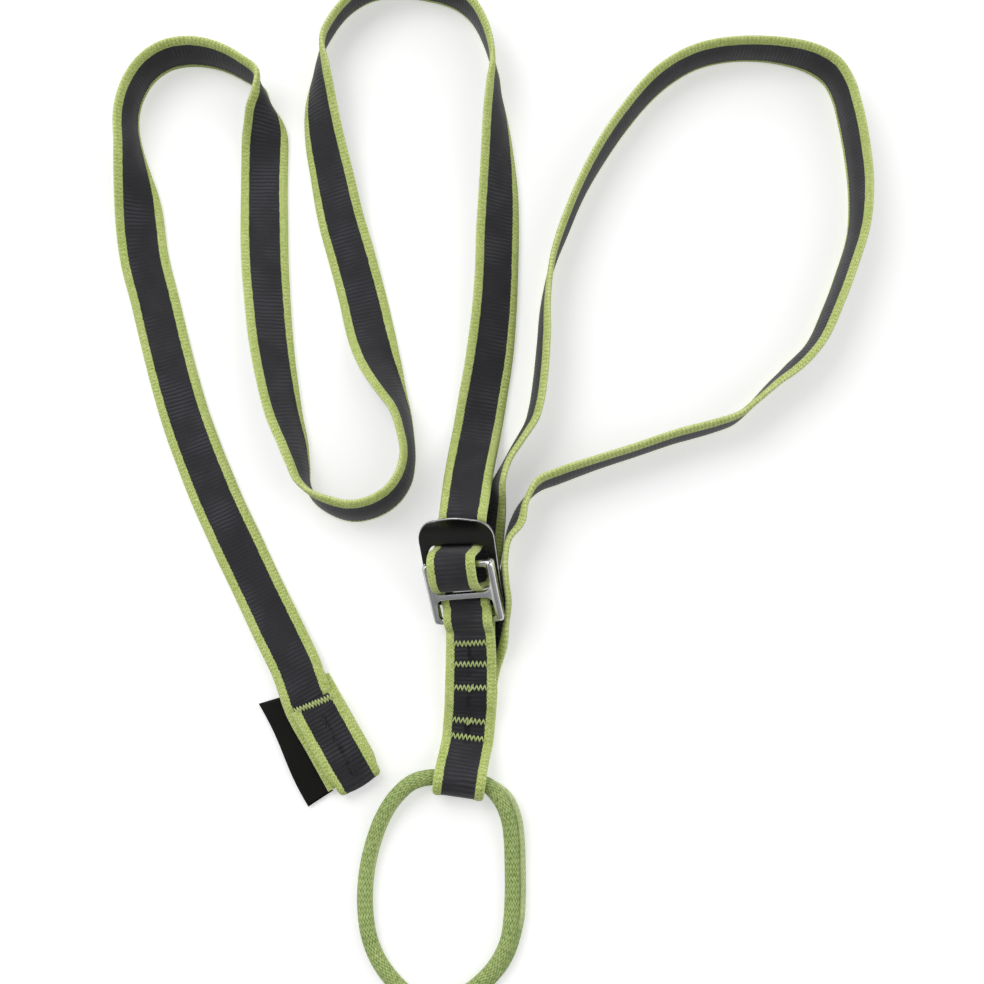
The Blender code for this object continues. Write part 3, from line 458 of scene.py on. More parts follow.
def loft(name, grid, lines, runs, look, loop=False):
    """A closed skin over rings of points, with metres along and across as its UV map."""
    count, around = grid.shape[:2]
    faces = []
    uv = []
    for i in range(count if loop else count - 1):
        ahead = (i + 1) % count
        for j in range(around):
            side = (j + 1) % around
            faces.append((i * around + j, i * around + side, ahead * around + side, ahead * around + j))
            uv += [(lines[j], runs[i]), (lines[j + 1], runs[i])]
            uv += [(lines[j + 1], runs[i + 1]), (lines[j], runs[i + 1])]
    if not loop:
        faces.append(tuple(range(around))[::-1])
        uv += [(lines[j], runs[0]) for j in range(around)][::-1]
        faces.append(tuple((count - 1) * around + j for j in range(around)))
        uv += [(lines[j], runs[-1]) for j in range(around)]
    mesh = bpy.data.meshes.new(name)
    mesh.from_pydata([tuple(point) for point in grid.reshape(-1, 3)], [], faces)
    layer = mesh.uv_layers.new(name="UVMap")
    layer.data.foreach_set("uv", np.array(uv, np.float32).ravel())
    mesh.shade_smooth()
    bm = bmesh.new()
    bm.from_mesh(mesh)
    bmesh.ops.recalc_face_normals(bm, faces=bm.faces)
    bm.to_mesh(mesh)
    bm.free()
    mesh.materials.append(look)
    piece = bpy.data.objects.new(name, mesh)
    SCENE.collection.objects.link(piece)
    return piece


def tube(name, points, width, height, look, sides, loop=False):
    """A closed oval tube along points, its width level and its height upright."""
    points = np.asarray(points, float)
    if loop:
        run = np.roll(points, -1, axis=0) - np.roll(points, 1, axis=0)
        steps = np.linalg.norm(np.roll(points, -1, axis=0) - points, axis=1)
    else:
        run = np.gradient(points, axis=0)
        steps = np.linalg.norm(np.diff(points, axis=0), axis=1)
    run = unit(run)
    side = unit(np.cross(run, UP))
    top = np.cross(side, run)
    angle = np.arange(sides) / sides * 2 * math.pi
    width = np.broadcast_to(width, len(points))[:, None, None]
    height = np.broadcast_to(height, len(points))[:, None, None]
    ring = side[:, None] * (np.cos(angle)[None, :, None] * width / 2)
    ring = ring + top[:, None] * (np.sin(angle)[None, :, None] * height / 2)
    grid = points[:, None] + ring
    girth = math.pi * float(np.mean(width) + np.mean(height)) / 2
    lines = np.linspace(0.0, girth, sides + 1)
    runs = np.concatenate(([0.0], np.cumsum(steps)))
    return loft(name, grid, lines, runs, look, loop)


def paint(piece, name, values):
    """Stores a value at each point of a piece, for its material to read."""
    layer = piece.data.attributes.new(name, "FLOAT", "POINT")
    layer.data.foreach_set("value", np.array(values, np.float32))


# Material helpers
def new_look(name):
    made = bpy.data.materials.new(name)
    made.use_nodes = True
    return made, made.node_tree, made.node_tree.nodes["Principled BSDF"]


def add(tree, kind, inputs=(), **settings):
    node = tree.nodes.new("ShaderNode" + kind)
    for key, value in settings.items():
        setattr(node, key, value)
    for key, value in dict(inputs).items():
        put(tree, node.inputs[key], value)
    return node


def put(tree, socket, value):
    if isinstance(value, bpy.types.NodeSocket):
        tree.links.new(value, socket)
    else:
        socket.default_value = value


def calc(tree, operation, *values):
    node = tree.nodes.new("ShaderNodeMath")
    node.operation = operation
    for socket, value in zip(node.inputs, values):
        put(tree, socket, value)
    return node.outputs[0]


def summed(tree, base, *terms):
    """A base with each value times its factor added to it."""
    for value, factor in terms:
        base = calc(tree, "MULTIPLY_ADD", value, factor, base)
    return base


def scaled(tree, value, factor, base):
    return summed(tree, base, (value, factor))


def times(tree, first, second):
    return calc(tree, "MULTIPLY", first, second)


def less(tree, first, second):
    return calc(tree, "SUBTRACT", first, second)


def blend(tree, share, first, second):
    node = add(tree, "Mix", data_type="RGBA")
    put(tree, node.inputs[0], share)
    put(tree, node.inputs[6], first)
    put(tree, node.inputs[7], second)
    return node.outputs[2]


def wave(tree, value, pitch, phase=0.0):
    """A smooth wave from 0 to 1 along a value in metres."""
    turns = scaled(tree, value, 2 * math.pi / pitch, phase)
    return scaled(tree, calc(tree, "COSINE", turns), 0.5, 0.5)


def step_up(tree, value, low, high):
    node = add(tree, "MapRange", interpolation_type="SMOOTHSTEP")
    for key, part in ((0, value), (1, low), (2, high), (3, 0.0), (4, 1.0)):
        put(tree, node.inputs[key], part)
    return node.outputs[0]


def metres(tree):
    """Metres across and along a piece, from its UV map."""
    unwrapped = add(tree, "UVMap", uv_map="UVMap").outputs[0]
    place = add(tree, "SeparateXYZ", {"Vector": unwrapped})
    return place.outputs[0], place.outputs[1]


def painted(tree, name):
    return add(tree, "Attribute", attribute_name=name).outputs["Fac"]


def grains(tree, place, scale, detail, rough=0.5):
    inputs = {"Vector": place, "Scale": scale, "Detail": detail, "Roughness": rough}
    return add(tree, "TexNoise", inputs).outputs["Fac"]


def cloud(tree, scale, detail=3.0, rough=0.5):
    return grains(tree, add(tree, "TexCoord").outputs["Object"], scale, detail, rough)


def bump(tree, shader, height, distance, strength):
    node = add(tree, "Bump", {"Height": height, "Distance": distance, "Strength": strength})
    tree.links.new(node.outputs[0], shader.inputs["Normal"])


def dress(tree, shader, **values):
    """Sets or links inputs of a shader, an underscore in their names standing for a space."""
    for key, value in values.items():
        put(tree, shader.inputs[key.replace("_", " ")], value)


def colour(red, green, blue):
    """A colour given as the 0 to 255 values of a screen."""
    parts = [value / 255 for value in (red, green, blue)]
    return (*[p / 12.92 if p <= 0.04045 else ((p + 0.055) / 1.055) ** 2.4 for p in parts], 1.0)


# Dark and light tones of the materials
WEBBING_DARK = (colour(13, 12, 15), colour(72, 71, 78))
WEBBING_GREEN = (colour(137, 163, 30), colour(234, 242, 172))
RING_GREEN = (colour(93, 125, 40), colour(206, 222, 146))
# Paler tones of the painted highlight on the ring's left limb
RING_HIGHLIGHT = (colour(156, 180, 100), colour(218, 230, 164))
LAP_PALE = (colour(158, 180, 108), colour(224, 234, 178))
LAP_GREEN = (colour(98, 128, 56), colour(192, 210, 138))
GREEN_THREAD = (colour(150, 172, 84), colour(218, 229, 160))
BLACK_THREAD = (colour(4, 4, 5), colour(20, 20, 23))
LABEL_BLACK = (colour(5, 5, 3), colour(30, 29, 25))
METAL_BLACK = (colour(4, 4, 4), colour(14, 14, 12))
METAL_WORN = colour(186, 186, 188)
METAL_BRIGHT = (colour(196, 197, 200), colour(226, 226, 228))

# Weave and knit of the webbing, and the place of the painted crease shade line, in metres
YARN_PITCH = 0.00062
RIB_WANDER = 0.0012
CREASE_SHADE_ASIDE = 0.0024
CREASE_SHADE_WANDER = 0.004
CREASE_SHADE_EDGES = (0.0013, 0.0003)
CHEVRON_WIDTH = 0.00112
CHEVRON_PITCH = 0.00128
CHEVRON_SLANT = 1.15
KNIT_WANDER = 0.0009
PALE_EDGE = (0.0093, 0.01)
TOOTH_DEPTH = 0.0002
TOOTH_WANDER = 0.0005
TOOTH_EDGES = (0.00035, 0.00015)


def webbing_centre(tree, u, wander, rib, patch):
    """Dark cross ribs of plain weave, uneven in width and strength, darkened by painted crease shade where
    the piece is marked: their colour and their height.
    """
    rib_number = calc(tree, "FLOOR", calc(tree, "DIVIDE", wander, RIB_PITCH))
    yarn_phase = scaled(tree, u, 2 * math.pi / YARN_PITCH, times(tree, rib_number, math.pi))
    yarn = scaled(tree, calc(tree, "SINE", yarn_phase), 0.5, 0.5)
    strength = step_up(tree, cloud(tree, 55.0, 2.0), 0.42, 0.66)
    # Painted crease shade: the marked part is a little darker, and a wandering line along it much darker
    crease_shade_share = painted(tree, "crease_shade_share")
    crease_shade_offset = scaled(tree, cloud(tree, 260.0), CREASE_SHADE_WANDER, less(tree, u, CREASE_SHADE_ASIDE))
    crease_shade = step_up(tree, calc(tree, "ABSOLUTE", crease_shade_offset), *CREASE_SHADE_EDGES)
    crease_shade = times(tree, crease_shade, step_up(tree, cloud(tree, 130.0), 0.4, 0.55))
    ribs = times(tree, rib, scaled(tree, strength, 0.42, 0.06))
    crease_shade = times(tree, crease_shade, crease_shade_share)
    light = summed(tree, ribs, (yarn, 0.15), (patch, 0.35), (crease_shade_share, -0.12), (crease_shade, -0.5))
    rib_height = times(tree, rib, scaled(tree, strength, 0.6, 0.12))
    return blend(tree, light, *WEBBING_DARK), scaled(tree, yarn, 0.35, rib_height)


def webbing_selvage(tree, out, v, rib, patch, fine):
    """Green rows of small knitted chevrons, paler at the very edge: their colour and their height."""
    slant = calc(tree, "PINGPONG", less(tree, out, SELVAGE_START), CHEVRON_WIDTH)
    knit_run = scaled(tree, cloud(tree, 500.0, 2.0), KNIT_WANDER, v)
    knit = wave(tree, scaled(tree, slant, CHEVRON_SLANT, knit_run), CHEVRON_PITCH)
    furrow = calc(tree, "ABSOLUTE", scaled(tree, slant, 2 / CHEVRON_WIDTH, -1.0))
    speckle = cloud(tree, 900.0, 3.0, 0.7)
    deep = calc(tree, "POWER", furrow, 3.0)
    ridge = scaled(tree, step_up(tree, cloud(tree, 25.0, 1.0), 0.35, 0.6), 0.2, 0.05)
    light = summed(
        tree, -0.5, (fine, 0.25), (knit, 0.32), (speckle, 1.1), (patch, 0.25), (deep, -0.12),
        (less(tree, rib, 0.5), ridge), (step_up(tree, out, *PALE_EDGE), 0.22),
    )
    height = summed(tree, 0.0, (furrow, -0.3), (knit, 0.5), (speckle, 0.8))
    return blend(tree, light, *WEBBING_GREEN), height


def webbing_look(name):
    """The strap's weave: a dark centre between two green selvages with toothed inner edges."""
    made, tree, shader = new_look(name)
    u, v = metres(tree)
    out = calc(tree, "ABSOLUTE", u)
    patch = cloud(tree, 90.0)
    fine = cloud(tree, 1400.0, 2.0)
    wander = scaled(tree, cloud(tree, 150.0, 2.0), RIB_WANDER, less(tree, v, RIB_WANDER / 2))
    rib = wave(tree, wander, RIB_PITCH, math.pi)
    dark, centre_height = webbing_centre(tree, u, wander, rib, patch)
    green, knit_height = webbing_selvage(tree, out, v, rib, patch, fine)
    tooth = scaled(tree, rib, TOOTH_DEPTH, SELVAGE_START - TOOTH_DEPTH / 2)
    tooth = scaled(tree, cloud(tree, 420.0, 1.0), TOOTH_WANDER, tooth)
    green_share = step_up(tree, out, *[less(tree, tooth, edge) for edge in TOOTH_EDGES])
    height = add(tree, "Mix", data_type="FLOAT")
    for number, value in ((0, green_share), (2, centre_height), (3, knit_height)):
        put(tree, height.inputs[number], value)
    bump(tree, shader, scaled(tree, fine, 0.25, height.outputs[0]), distance=0.00016, strength=0.8)
    dress(tree, shader, Base_Color=blend(tree, green_share, dark, green), Specular_IOR_Level=0.3)
    dress(tree, shader, Roughness=scaled(tree, fine, 0.2, 0.62), Sheen_Weight=0.22, Sheen_Roughness=0.45)
    return made


# Rows of small dashes on the ring's tape and the fine threads between them, in metres and per metre
DASH_COLUMN = 0.0005
DASH_PITCH = 0.0021
DASH_SLANT = 3.0
DASH_WANDER = 0.0011
THREADS_ACROSS = 3400.0
THREADS_ALONG = 420.0


def tape_look(name, share_name, tones, other_tones):
    """Tubular tape with long rows of small V dashes, in other tones where its painted share is 1."""
    made, tree, shader = new_look(name)
    u, v = metres(tree)
    slant = calc(tree, "PINGPONG", u, DASH_COLUMN)
    uneven = scaled(tree, cloud(tree, 420.0, 2.0), DASH_WANDER, v)
    dash = wave(tree, scaled(tree, slant, DASH_SLANT, uneven), DASH_PITCH)
    column = calc(tree, "ABSOLUTE", scaled(tree, slant, 2 / DASH_COLUMN, -1.0))
    threads = {"X": times(tree, u, THREADS_ACROSS), "Y": times(tree, v, THREADS_ALONG)}
    streak = grains(tree, add(tree, "CombineXYZ", threads).outputs[0], 1.0, 2.0)
    fine = cloud(tree, 1500.0, 2.0)
    patch = cloud(tree, 120.0)
    light = summed(tree, -0.8, (fine, 0.35), (dash, 0.6), (patch, 0.3), (column, -0.35), (streak, 1.6))
    tint, other_tint = blend(tree, light, *tones), blend(tree, light, *other_tones)
    height = summed(tree, 0.0, (column, -0.4), (dash, 0.8), (fine, 0.3))
    bump(tree, shader, height, distance=0.00015, strength=0.8)
    dress(tree, shader, Base_Color=blend(tree, painted(tree, share_name), tint, other_tint))
    dress(tree, shader, Roughness=0.72, Sheen_Weight=0.2, Sheen_Roughness=0.45)
    return made


THREAD_TWIST = 0.00055


def thread_look(name, tones):
    """Twisted sewing thread."""
    made, tree, shader = new_look(name)
    u, v = metres(tree)
    twist = wave(tree, calc(tree, "ADD", u, v), THREAD_TWIST)
    light = summed(tree, 0.0, (twist, 0.5), (cloud(tree, 700.0), 0.5))
    bump(tree, shader, twist, distance=0.00008, strength=0.7)
    dress(tree, shader, Base_Color=blend(tree, light, *tones), Roughness=0.6, Sheen_Weight=0.2)
    return made


LABEL_WEFT = 0.00042
LABEL_WARP = 0.00035


def label_look(name):
    """Bare cloth with a fine slanting weave."""
    made, tree, shader = new_look(name)
    u, v = metres(tree)
    weft = wave(tree, v, LABEL_WEFT)
    warp = wave(tree, scaled(tree, v, 0.5, u), LABEL_WARP)
    light = summed(tree, 0.0, (warp, 0.25), (weft, 0.4), (cloud(tree, 60.0), 0.4))
    bump(tree, shader, calc(tree, "ADD", weft, warp), distance=0.00005, strength=0.6)
    dress(tree, shader, Base_Color=blend(tree, light, *LABEL_BLACK), Specular_IOR_Level=0.12)
    dress(tree, shader, Roughness=scaled(tree, cloud(tree, 200.0), 0.25, 0.4), Sheen_Weight=0.02)
    return made


def black_metal_look(name):
    """Black anodised metal, worn bright where its painted wear is high."""
    made, tree, shader = new_look(name)
    chipped = scaled(tree, cloud(tree, 900.0, 4.0, 0.65), 0.45, painted(tree, "wear"))
    worn = step_up(tree, chipped, 0.62, 0.92)
    stain = cloud(tree, 160.0)
    dress(tree, shader, Base_Color=blend(tree, worn, blend(tree, stain, *METAL_BLACK), METAL_WORN))
    dress(tree, shader, Metallic=scaled(tree, worn, 0.9, 0.1), Roughness=scaled(tree, stain, 0.18, 0.2))
    bump(tree, shader, cloud(tree, 2600.0, 2.0), distance=0.00003, strength=0.35)
    return made


BRUSH_LINES = (300.0, 4200.0, 1200.0)


def bright_metal_look(name):
    """Polished metal with fine lines."""
    made, tree, shader = new_look(name)
    spot = add(tree, "TexCoord").outputs["Object"]
    stretched = add(tree, "Mapping", {"Vector": spot, "Scale": BRUSH_LINES})
    fine_lines = grains(tree, stretched.outputs[0], 1.0, 2.0)
    dress(tree, shader, Base_Color=blend(tree, cloud(tree, 220.0), *METAL_BRIGHT), Metallic=1.0)
    dress(tree, shader, Roughness=scaled(tree, fine_lines, 0.22, 0.1))
    bump(tree, shader, fine_lines, distance=0.00002, strength=0.3)
    return made


# Camera, floor and light
camera_data = bpy.data.cameras.new("camera")
camera_data.lens = CAMERA_LENS
camera_data.clip_start = CAMERA_NEAR
camera = bpy.data.objects.new("camera", camera_data)
camera.location = CAMERA_PLACE
camera.rotation_euler = (CAMERA_TILT, 0.0, 0.0)
SCENE.collection.objects.link(camera)
SCENE.camera = camera
SCENE.view_settings.view_transform = "Standard"

# The floor's own glow is seen, also in reflections, and lights nothing else
FLOOR_GLOW = 0.42
floor_look, floor_tree, floor_shader = new_look("pale_floor")
rays = add(floor_tree, "LightPath")
seen = calc(floor_tree, "MAXIMUM", rays.outputs["Is Camera Ray"], rays.outputs["Is Glossy Ray"])
seen = calc(floor_tree, "MAXIMUM", seen, rays.outputs["Is Transmission Ray"])
dress(
    floor_tree, floor_shader, Base_Color=(0.8, 0.8, 0.8, 1.0), Emission_Color=(1.0, 1.0, 1.0, 1.0),
    Emission_Strength=times(floor_tree, seen, FLOOR_GLOW),
    Roughness=scaled(floor_tree, cloud(floor_tree, 40.0), 0.1, 0.85),
)
floor_mesh = bpy.data.meshes.new("floor")
floor_mesh.from_pydata([(-3, -3, 0), (3, -3, 0), (3, 3, 0), (-3, 3, 0)], [], [(0, 1, 2, 3)])
floor_mesh.materials.append(floor_look)
floor = bpy.data.objects.new("floor", floor_mesh)
SCENE.collection.objects.link(floor)

# Soft light from all round, dimmer overhead and from the front
world = bpy.data.worlds.new("studio")
world.use_nodes = True
sky = world.node_tree
toward = add(sky, "SeparateXYZ", {"Vector": add(sky, "TexCoord").outputs["Generated"]})
low_band = step_up(sky, toward.outputs[2], 0.95, 0.45)
behind = step_up(sky, toward.outputs[1], -1.15, 0.1)
strength = scaled(sky, times(sky, low_band, behind), 0.95, 0.14)
dress(sky, sky.nodes["Background"], Color=(1.0, 1.0, 1.0, 1.0), Strength=strength)
SCENE.world = world


def lamp(name, place, size, power):
    data = bpy.data.lights.new(name, "AREA")
    data.shape = "RECTANGLE"
    data.size, data.size_y = size
    data.energy = power
    made = bpy.data.objects.new(name, data)
    made.location = place
    made.rotation_euler = (-Vector(place)).to_track_quat("-Z", "Y").to_euler()
    SCENE.collection.objects.link(made)


lamp("key", place=(-0.55, 0.45, 0.95), size=(0.7, 0.7), power=5.5)
lamp("fill", place=(0.8, -0.3, 0.9), size=(0.5, 0.9), power=2.2)

webbing = webbing_look("woven_green_webbing")
# The ring's tape takes paler tones where its painted highlight is stored
ring_fabric = tape_look("ring_tape_fabric", "painted_highlight", RING_GREEN, RING_HIGHLIGHT)
lap_fabric = tape_look("ring_lap_fabric", "fade", LAP_PALE, LAP_GREEN)
green_thread = thread_look("green_thread", GREEN_THREAD)
black_thread = thread_look("black_thread", BLACK_THREAD)
label_cloth = label_look("label_cloth")
black_metal = black_metal_look("worn_black_metal")
bright_metal = bright_metal_look("bright_metal")

# One continuous strap, from its hidden end in the sewn part to the tail's end
turn = Matrix.Rotation(BUCKLE_TURN, 4, "Z") @ Matrix.Rotation(-BUCKLE_TILT, 4, "Y")
turn = turn @ Matrix.Rotation(BUCKLE_PITCH, 4, "X")
buckle = Matrix.Translation(PLATE_POSITION) @ turn
buckle_side = np.array(turn.to_3x3() @ Vector((1.0, 0.0, 0.0)))


def buckle_rows(way, turned=(0, 0)):
    """Cross rows along a way in the plate's own frame; the turned ones lie along the frame's bars."""
    along_bars = np.array(turn.to_3x3() @ Matrix.Rotation(FRAME_TURN, 3, "Z") @ Vector((1.0, 0.0, 0.0)))
    rows = []
    for number, mark in enumerate(way):
        side = along_bars if turned[0] <= number < turned[1] else buckle_side
        rows.append(plain_row(np.array(buckle @ (Vector(mark) * MILLIMETRE)), -side))
    return np.array(rows)


fold = []
for angle in np.linspace(-math.pi / 2, math.pi / 2, 7):
    spot = Vector((0.0, math.cos(angle), math.sin(angle))) * (LAYER_STEP + GAP)
    spot.x = BAR_FOLD_ASIDE
    fold.append(plain_row(np.array(buckle @ spot), -buckle_side))
eye_side = -np.array((math.cos(EYE_TURN), math.sin(EYE_TURN), 0.0))
eye_forward = np.cross(UP, eye_side)
eye_rows = arc_rows(np.array(EYE_CENTRE), eye_forward, eye_side, EYE_RADIUS, EYE_LEAVES_AT, -math.pi / 2, 7)
end_direction = unit(END_DIRECTION)
end_side = np.cross(UP, end_direction)
end_fold = np.array(END_FOLD_CENTRE)
strap_end = end_fold - end_side * END_SHIFT
end_height = UP * (LAYER_STEP + HALF_THICKNESS)
end_rows = []
for reach in (END_TOP_LENGTH, END_TOP_LENGTH / 2, GAP):
    end_rows.append(plain_row(strap_end - end_direction * reach + end_height, end_side))
stretches = (
    route_rows(SEWN_MIDDLE_ROUTE), np.array(fold), buckle_rows(SEWN_FOLD_AWAY),
    turned_over(route_rows(SEWN_FRONT_ROUTE)), eye_rows, route_rows(SEWN_BACK_ROUTE),
    turned_over(route_rows(LOOP_ROUTE)), buckle_rows(TAIL_WAY, WAY_IN_FRAME), route_rows(TAIL_ROUTE),
    np.array(end_rows),
)
starts = np.concatenate(([0], np.cumsum([len(rows) for rows in stretches])))
strap_rows, strap_stations, mark_places = even_rows(np.concatenate(stretches))
strap_skin, strap_lines = strap_grid(strap_rows)


def row_at(mark):
    return round(mark_places[mark] / STRAP_SPACING)


def strap_piece(name, first, last):
    runs = strap_stations[first:last + 1]
    piece = loft(name, strap_skin[first:last + 1], strap_lines, runs, webbing)
    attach(piece, "sling")
    return piece


loop_start = row_at(starts[LOOP_STRETCH])
wrap_start = row_at(starts[WAY_STRETCH])
tail_start = row_at(starts[WAY_STRETCH] + WAY_UNDER_TAB)
front_first, front_last = row_at(starts[FRONT_STRETCH]), row_at(starts[EYE_STRETCH])
tail_strap = strap_piece("tail_strap", tail_start, len(strap_rows) - 1)
foot_loop_strap = strap_piece("foot_loop_strap", loop_start, wrap_start)
sewn_strap = strap_piece("sewn_strap", 0, loop_start)
buckle_wrap = strap_piece("buckle_wrap", wrap_start, tail_start)
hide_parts("sewn_webbing")
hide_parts("foot_loop_webbing")
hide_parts("tail_webbing")
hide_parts("tail_webbing")
# Painted crease shade on the sewn part's front layer, easing in after the fold and stopping before the eye
sewn_rows = np.arange(loop_start + 1)
crease_shade_to = front_last - round(CREASE_SHADE_STOPS_BEFORE_EYE / STRAP_SPACING)
sewn_crease_shade = ramp(sewn_rows, front_first, front_first + CREASE_SHADE_EASE_ROWS)
sewn_crease_shade = sewn_crease_shade * ramp(sewn_rows, crease_shade_to, crease_shade_to - CREASE_SHADE_EASE_ROWS)
paint(sewn_strap, "crease_shade_share", np.repeat(sewn_crease_shade, strap_skin.shape[1]))

# End piece folded round the tail's end
cap_fold = end_fold + end_height
cap_arc = arc_rows(cap_fold, end_direction, end_side, LAYER_STEP, math.pi / 2, -math.pi / 2, 8)
cap_top = plain_row(cap_fold - end_direction * END_TOP_LENGTH + UP * LAYER_STEP, end_side)
cap_under = plain_row(cap_fold - end_direction * END_UNDER_LENGTH - UP * LAYER_STEP, end_side)
cap_rows, cap_stations, _ = even_rows(np.concatenate(([cap_top], cap_arc, [cap_under])))
cap_skin, cap_lines = strap_grid(cap_rows)
cap_reach = ramp((cap_skin + MIDDLE - end_fold) @ end_direction, -CAP_BULGE_RUN, 0.0) ** 2
cap_across = ((cap_skin + MIDDLE - end_fold) @ end_side) / HALF_WIDTH
bulge = cap_reach * (CAP_BULGE * (1 - cap_across**2) - CAP_DRAWN_IN)
rounding = cap_reach * CAP_CORNER_ROUND * np.sign(cap_across) * np.abs(cap_across) ** 5
cap_skin += bulge[:, :, None] * end_direction - rounding[:, :, None] * end_side
end_cap = loft("end_cap", cap_skin, cap_lines, cap_stations, webbing)
# Painted crease shade on the top of the tail's end
cap_crease_shade = ramp(cap_stations, *CAP_CREASE_SHADE_FROM) * CAP_CREASE_SHADE_STRENGTH
cap_crease_shade = cap_crease_shade * ramp(cap_stations, END_TOP_LENGTH, END_TOP_LENGTH - CAP_CREASE_SHADE_END_RUN)
paint(end_cap, "crease_shade_share", np.repeat(cap_crease_shade, cap_skin.shape[1]))
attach(end_cap, "sling")
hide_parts("tail_end_cap")


def stitched(name, points, node, look):
    piece = tube(name, points, 2 * THREAD_RADIUS, 2 * THREAD_RADIUS, look, THREAD_SIDES)
    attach(piece, "sling")
    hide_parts(node)
    return piece


noise.seed_set(SHAKE_SEED)


def zigzag(centre, side, along, normal, width, height, count, seed):
    """A zigzag seam whose stitches rise from the cloth and dive into it at their ends."""
    points = []
    for i in range(2 * count):
        ends = []
        for k in (i, i + 1):
            shake = noise.noise_vector(Vector((k * SHAKE_STEP, seed, 0.0)))
            reach = height / 2 * (1 + STITCH_UNEVEN * shake.x)
            spot = centre + side * ((k / (2 * count) - 1 / 2) * width + STITCH_WANDER * shake.y)
            ends.append(spot + along * (reach if k % 2 else -reach))
        for share in STITCH_SHARES:
            arch = STITCH_ARCH * math.sin(math.pi * share) - STITCH_DIVE
            points.append(ends[0] * (1 - share) + ends[1] * share + normal * arch)
    return np.array(points) - MIDDLE


# Bar tacks on the sewn part's front layer
for number, tack_row in enumerate(TACK_ROWS, 1):
    at = min(range(front_first, front_last), key=lambda k: abs(strap_rows[k, 1] - tack_row))
    side = unit(strap_rows[at, 6:9] - strap_rows[at, 3:6])
    run = unit(strap_rows[at + 1, :3] - strap_rows[at - 1, :3])
    normal = np.cross(side, run)
    normal = normal if normal[2] > 0 else -normal
    centre = strap_rows[at, :3] + normal * (WOVEN_HALF_THICKNESS + THREAD_RADIUS)
    points = zigzag(centre, side, run, normal, TACK_WIDTH, TACK_HEIGHT, TACK_ZIGZAGS, number)
    if number in TUFTED_TACKS:
        middle = len(points) // 2
        tuft = np.array(TUFT) * MILLIMETRE @ np.array((side, run, normal)) + centre - MIDDLE
        points = np.concatenate((points[:middle], tuft, points[middle:]))
    stitched(f"tack_{number}", points, f"bar_tack_{number}", green_thread)

# Seams of the tail's end
on_end = UP * (2 * LAYER_STEP + HALF_THICKNESS + WOVEN_HALF_THICKNESS + THREAD_RADIUS)
seam_centre = end_fold - end_direction * (END_TOP_LENGTH - END_SEAM_INSET) + on_end
seam_side = np.array(Matrix.Rotation(END_SEAM_TURN, 3, "Z") @ Vector(end_side))
seam_size = (END_SEAM_WIDTH, END_SEAM_HEIGHT, END_SEAM_ZIGZAGS, END_SEAM_SEED)
seam_points = zigzag(seam_centre, seam_side, end_direction, UP, *seam_size)
cap_seam = stitched("cap_seam", seam_points, "end_seam", green_thread)
dash_points = []
for k in range(CENTRE_STITCHES):
    for share in CENTRE_STITCH_SHARES:
        reach = (k + share / CENTRE_STITCH_FULL) / CENTRE_STITCHES * CENTRE_STITCH_LENGTH
        risen = math.sin(math.pi * min(share / CENTRE_STITCH_LANDS, 1.0))
        arch = UP * (CENTRE_STITCH_ARCH * risen - CENTRE_STITCH_DIVE)
        dash_points.append(end_fold - end_direction * (CENTRE_STITCH_LENGTH - reach) + on_end + arch - MIDDLE)
middle_seam = stitched("middle_seam", dash_points, "centre_seam", black_thread)

# Label sewn in beside the tail's end
label_edge = strap_end - end_side * (HALF_WIDTH - LABEL_TUCK)
label_grid = []
for i in range(LABEL_ROWS + 1):
    share = i / LABEL_ROWS
    width = LABEL_WIDTH_TOP + (LABEL_WIDTH_FOOT - LABEL_WIDTH_TOP) * share
    sway = LABEL_SWAY * math.sin(2 * math.pi * share) - LABEL_SWAY_BIAS
    ring = []
    for j in range(LABEL_COLUMNS + 1):
        across = j / LABEL_COLUMNS
        curl = LABEL_BOW * across**2 * math.sin(math.pi * share) + LABEL_FOOT_LIFT * across * share
        skew = LABEL_TOP_SKEW * across * (1 - share) ** 2 - LABEL_FOOT_ROUND * across**4 * share
        spot = label_edge - end_direction * (LABEL_LENGTH * (1 - share) + skew)
        spot = spot + end_side * across * (sway - width)
        ring.append(spot + UP * (LABEL_LIFT + curl + LABEL_TUCK_LIFT * (1 - across)))
    under = [point - UP * LABEL_THICKNESS for point in ring[::-1]]
    label_grid.append(ring + under)
label_grid = np.array(label_grid) - MIDDLE
label_lines = np.linspace(0.0, LABEL_GIRTH, len(label_grid[0]) + 1)
label_runs = np.linspace(0.0, LABEL_LENGTH, LABEL_ROWS + 1)
label = loft("label", label_grid, label_lines, label_runs, label_cloth)
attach(label, "sling")
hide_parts("tail_label")


# Buckle plate: rings of points from the window's edge out to the plate's edge, with round edges
def outline_loop(corners, arc_steps, edge_steps, crown=0.0):
    """A closed outline with an equal number of points at each corner and along each side."""
    arcs = []
    for i, (x, y, radius) in enumerate(corners):
        here = Vector((x, y))
        before = (Vector(corners[i - 1][:2]) - here).normalized()
        after = (Vector(corners[(i + 1) % 4][:2]) - here).normalized()
        half_angle = before.angle(after) / 2
        centre = here + (before + after).normalized() * radius / math.sin(half_angle)
        first = here + before * radius / math.tan(half_angle) - centre
        last = here + after * radius / math.tan(half_angle) - centre
        turned = first.angle_signed(last)
        turns = [Matrix.Rotation(-turned * k / arc_steps, 2) for k in range(arc_steps + 1)]
        arcs.append([centre + turn @ first for turn in turns])
    points = []
    for i, arc in enumerate(arcs):
        points += arc
        start, stop = arc[-1], arcs[(i + 1) % 4][0]
        for k in range(1, edge_steps):
            spot = start.lerp(stop, k / edge_steps)
            if i == 2:
                spot.y += crown * math.sin(math.pi * k / edge_steps)
            points.append(spot)
    return points


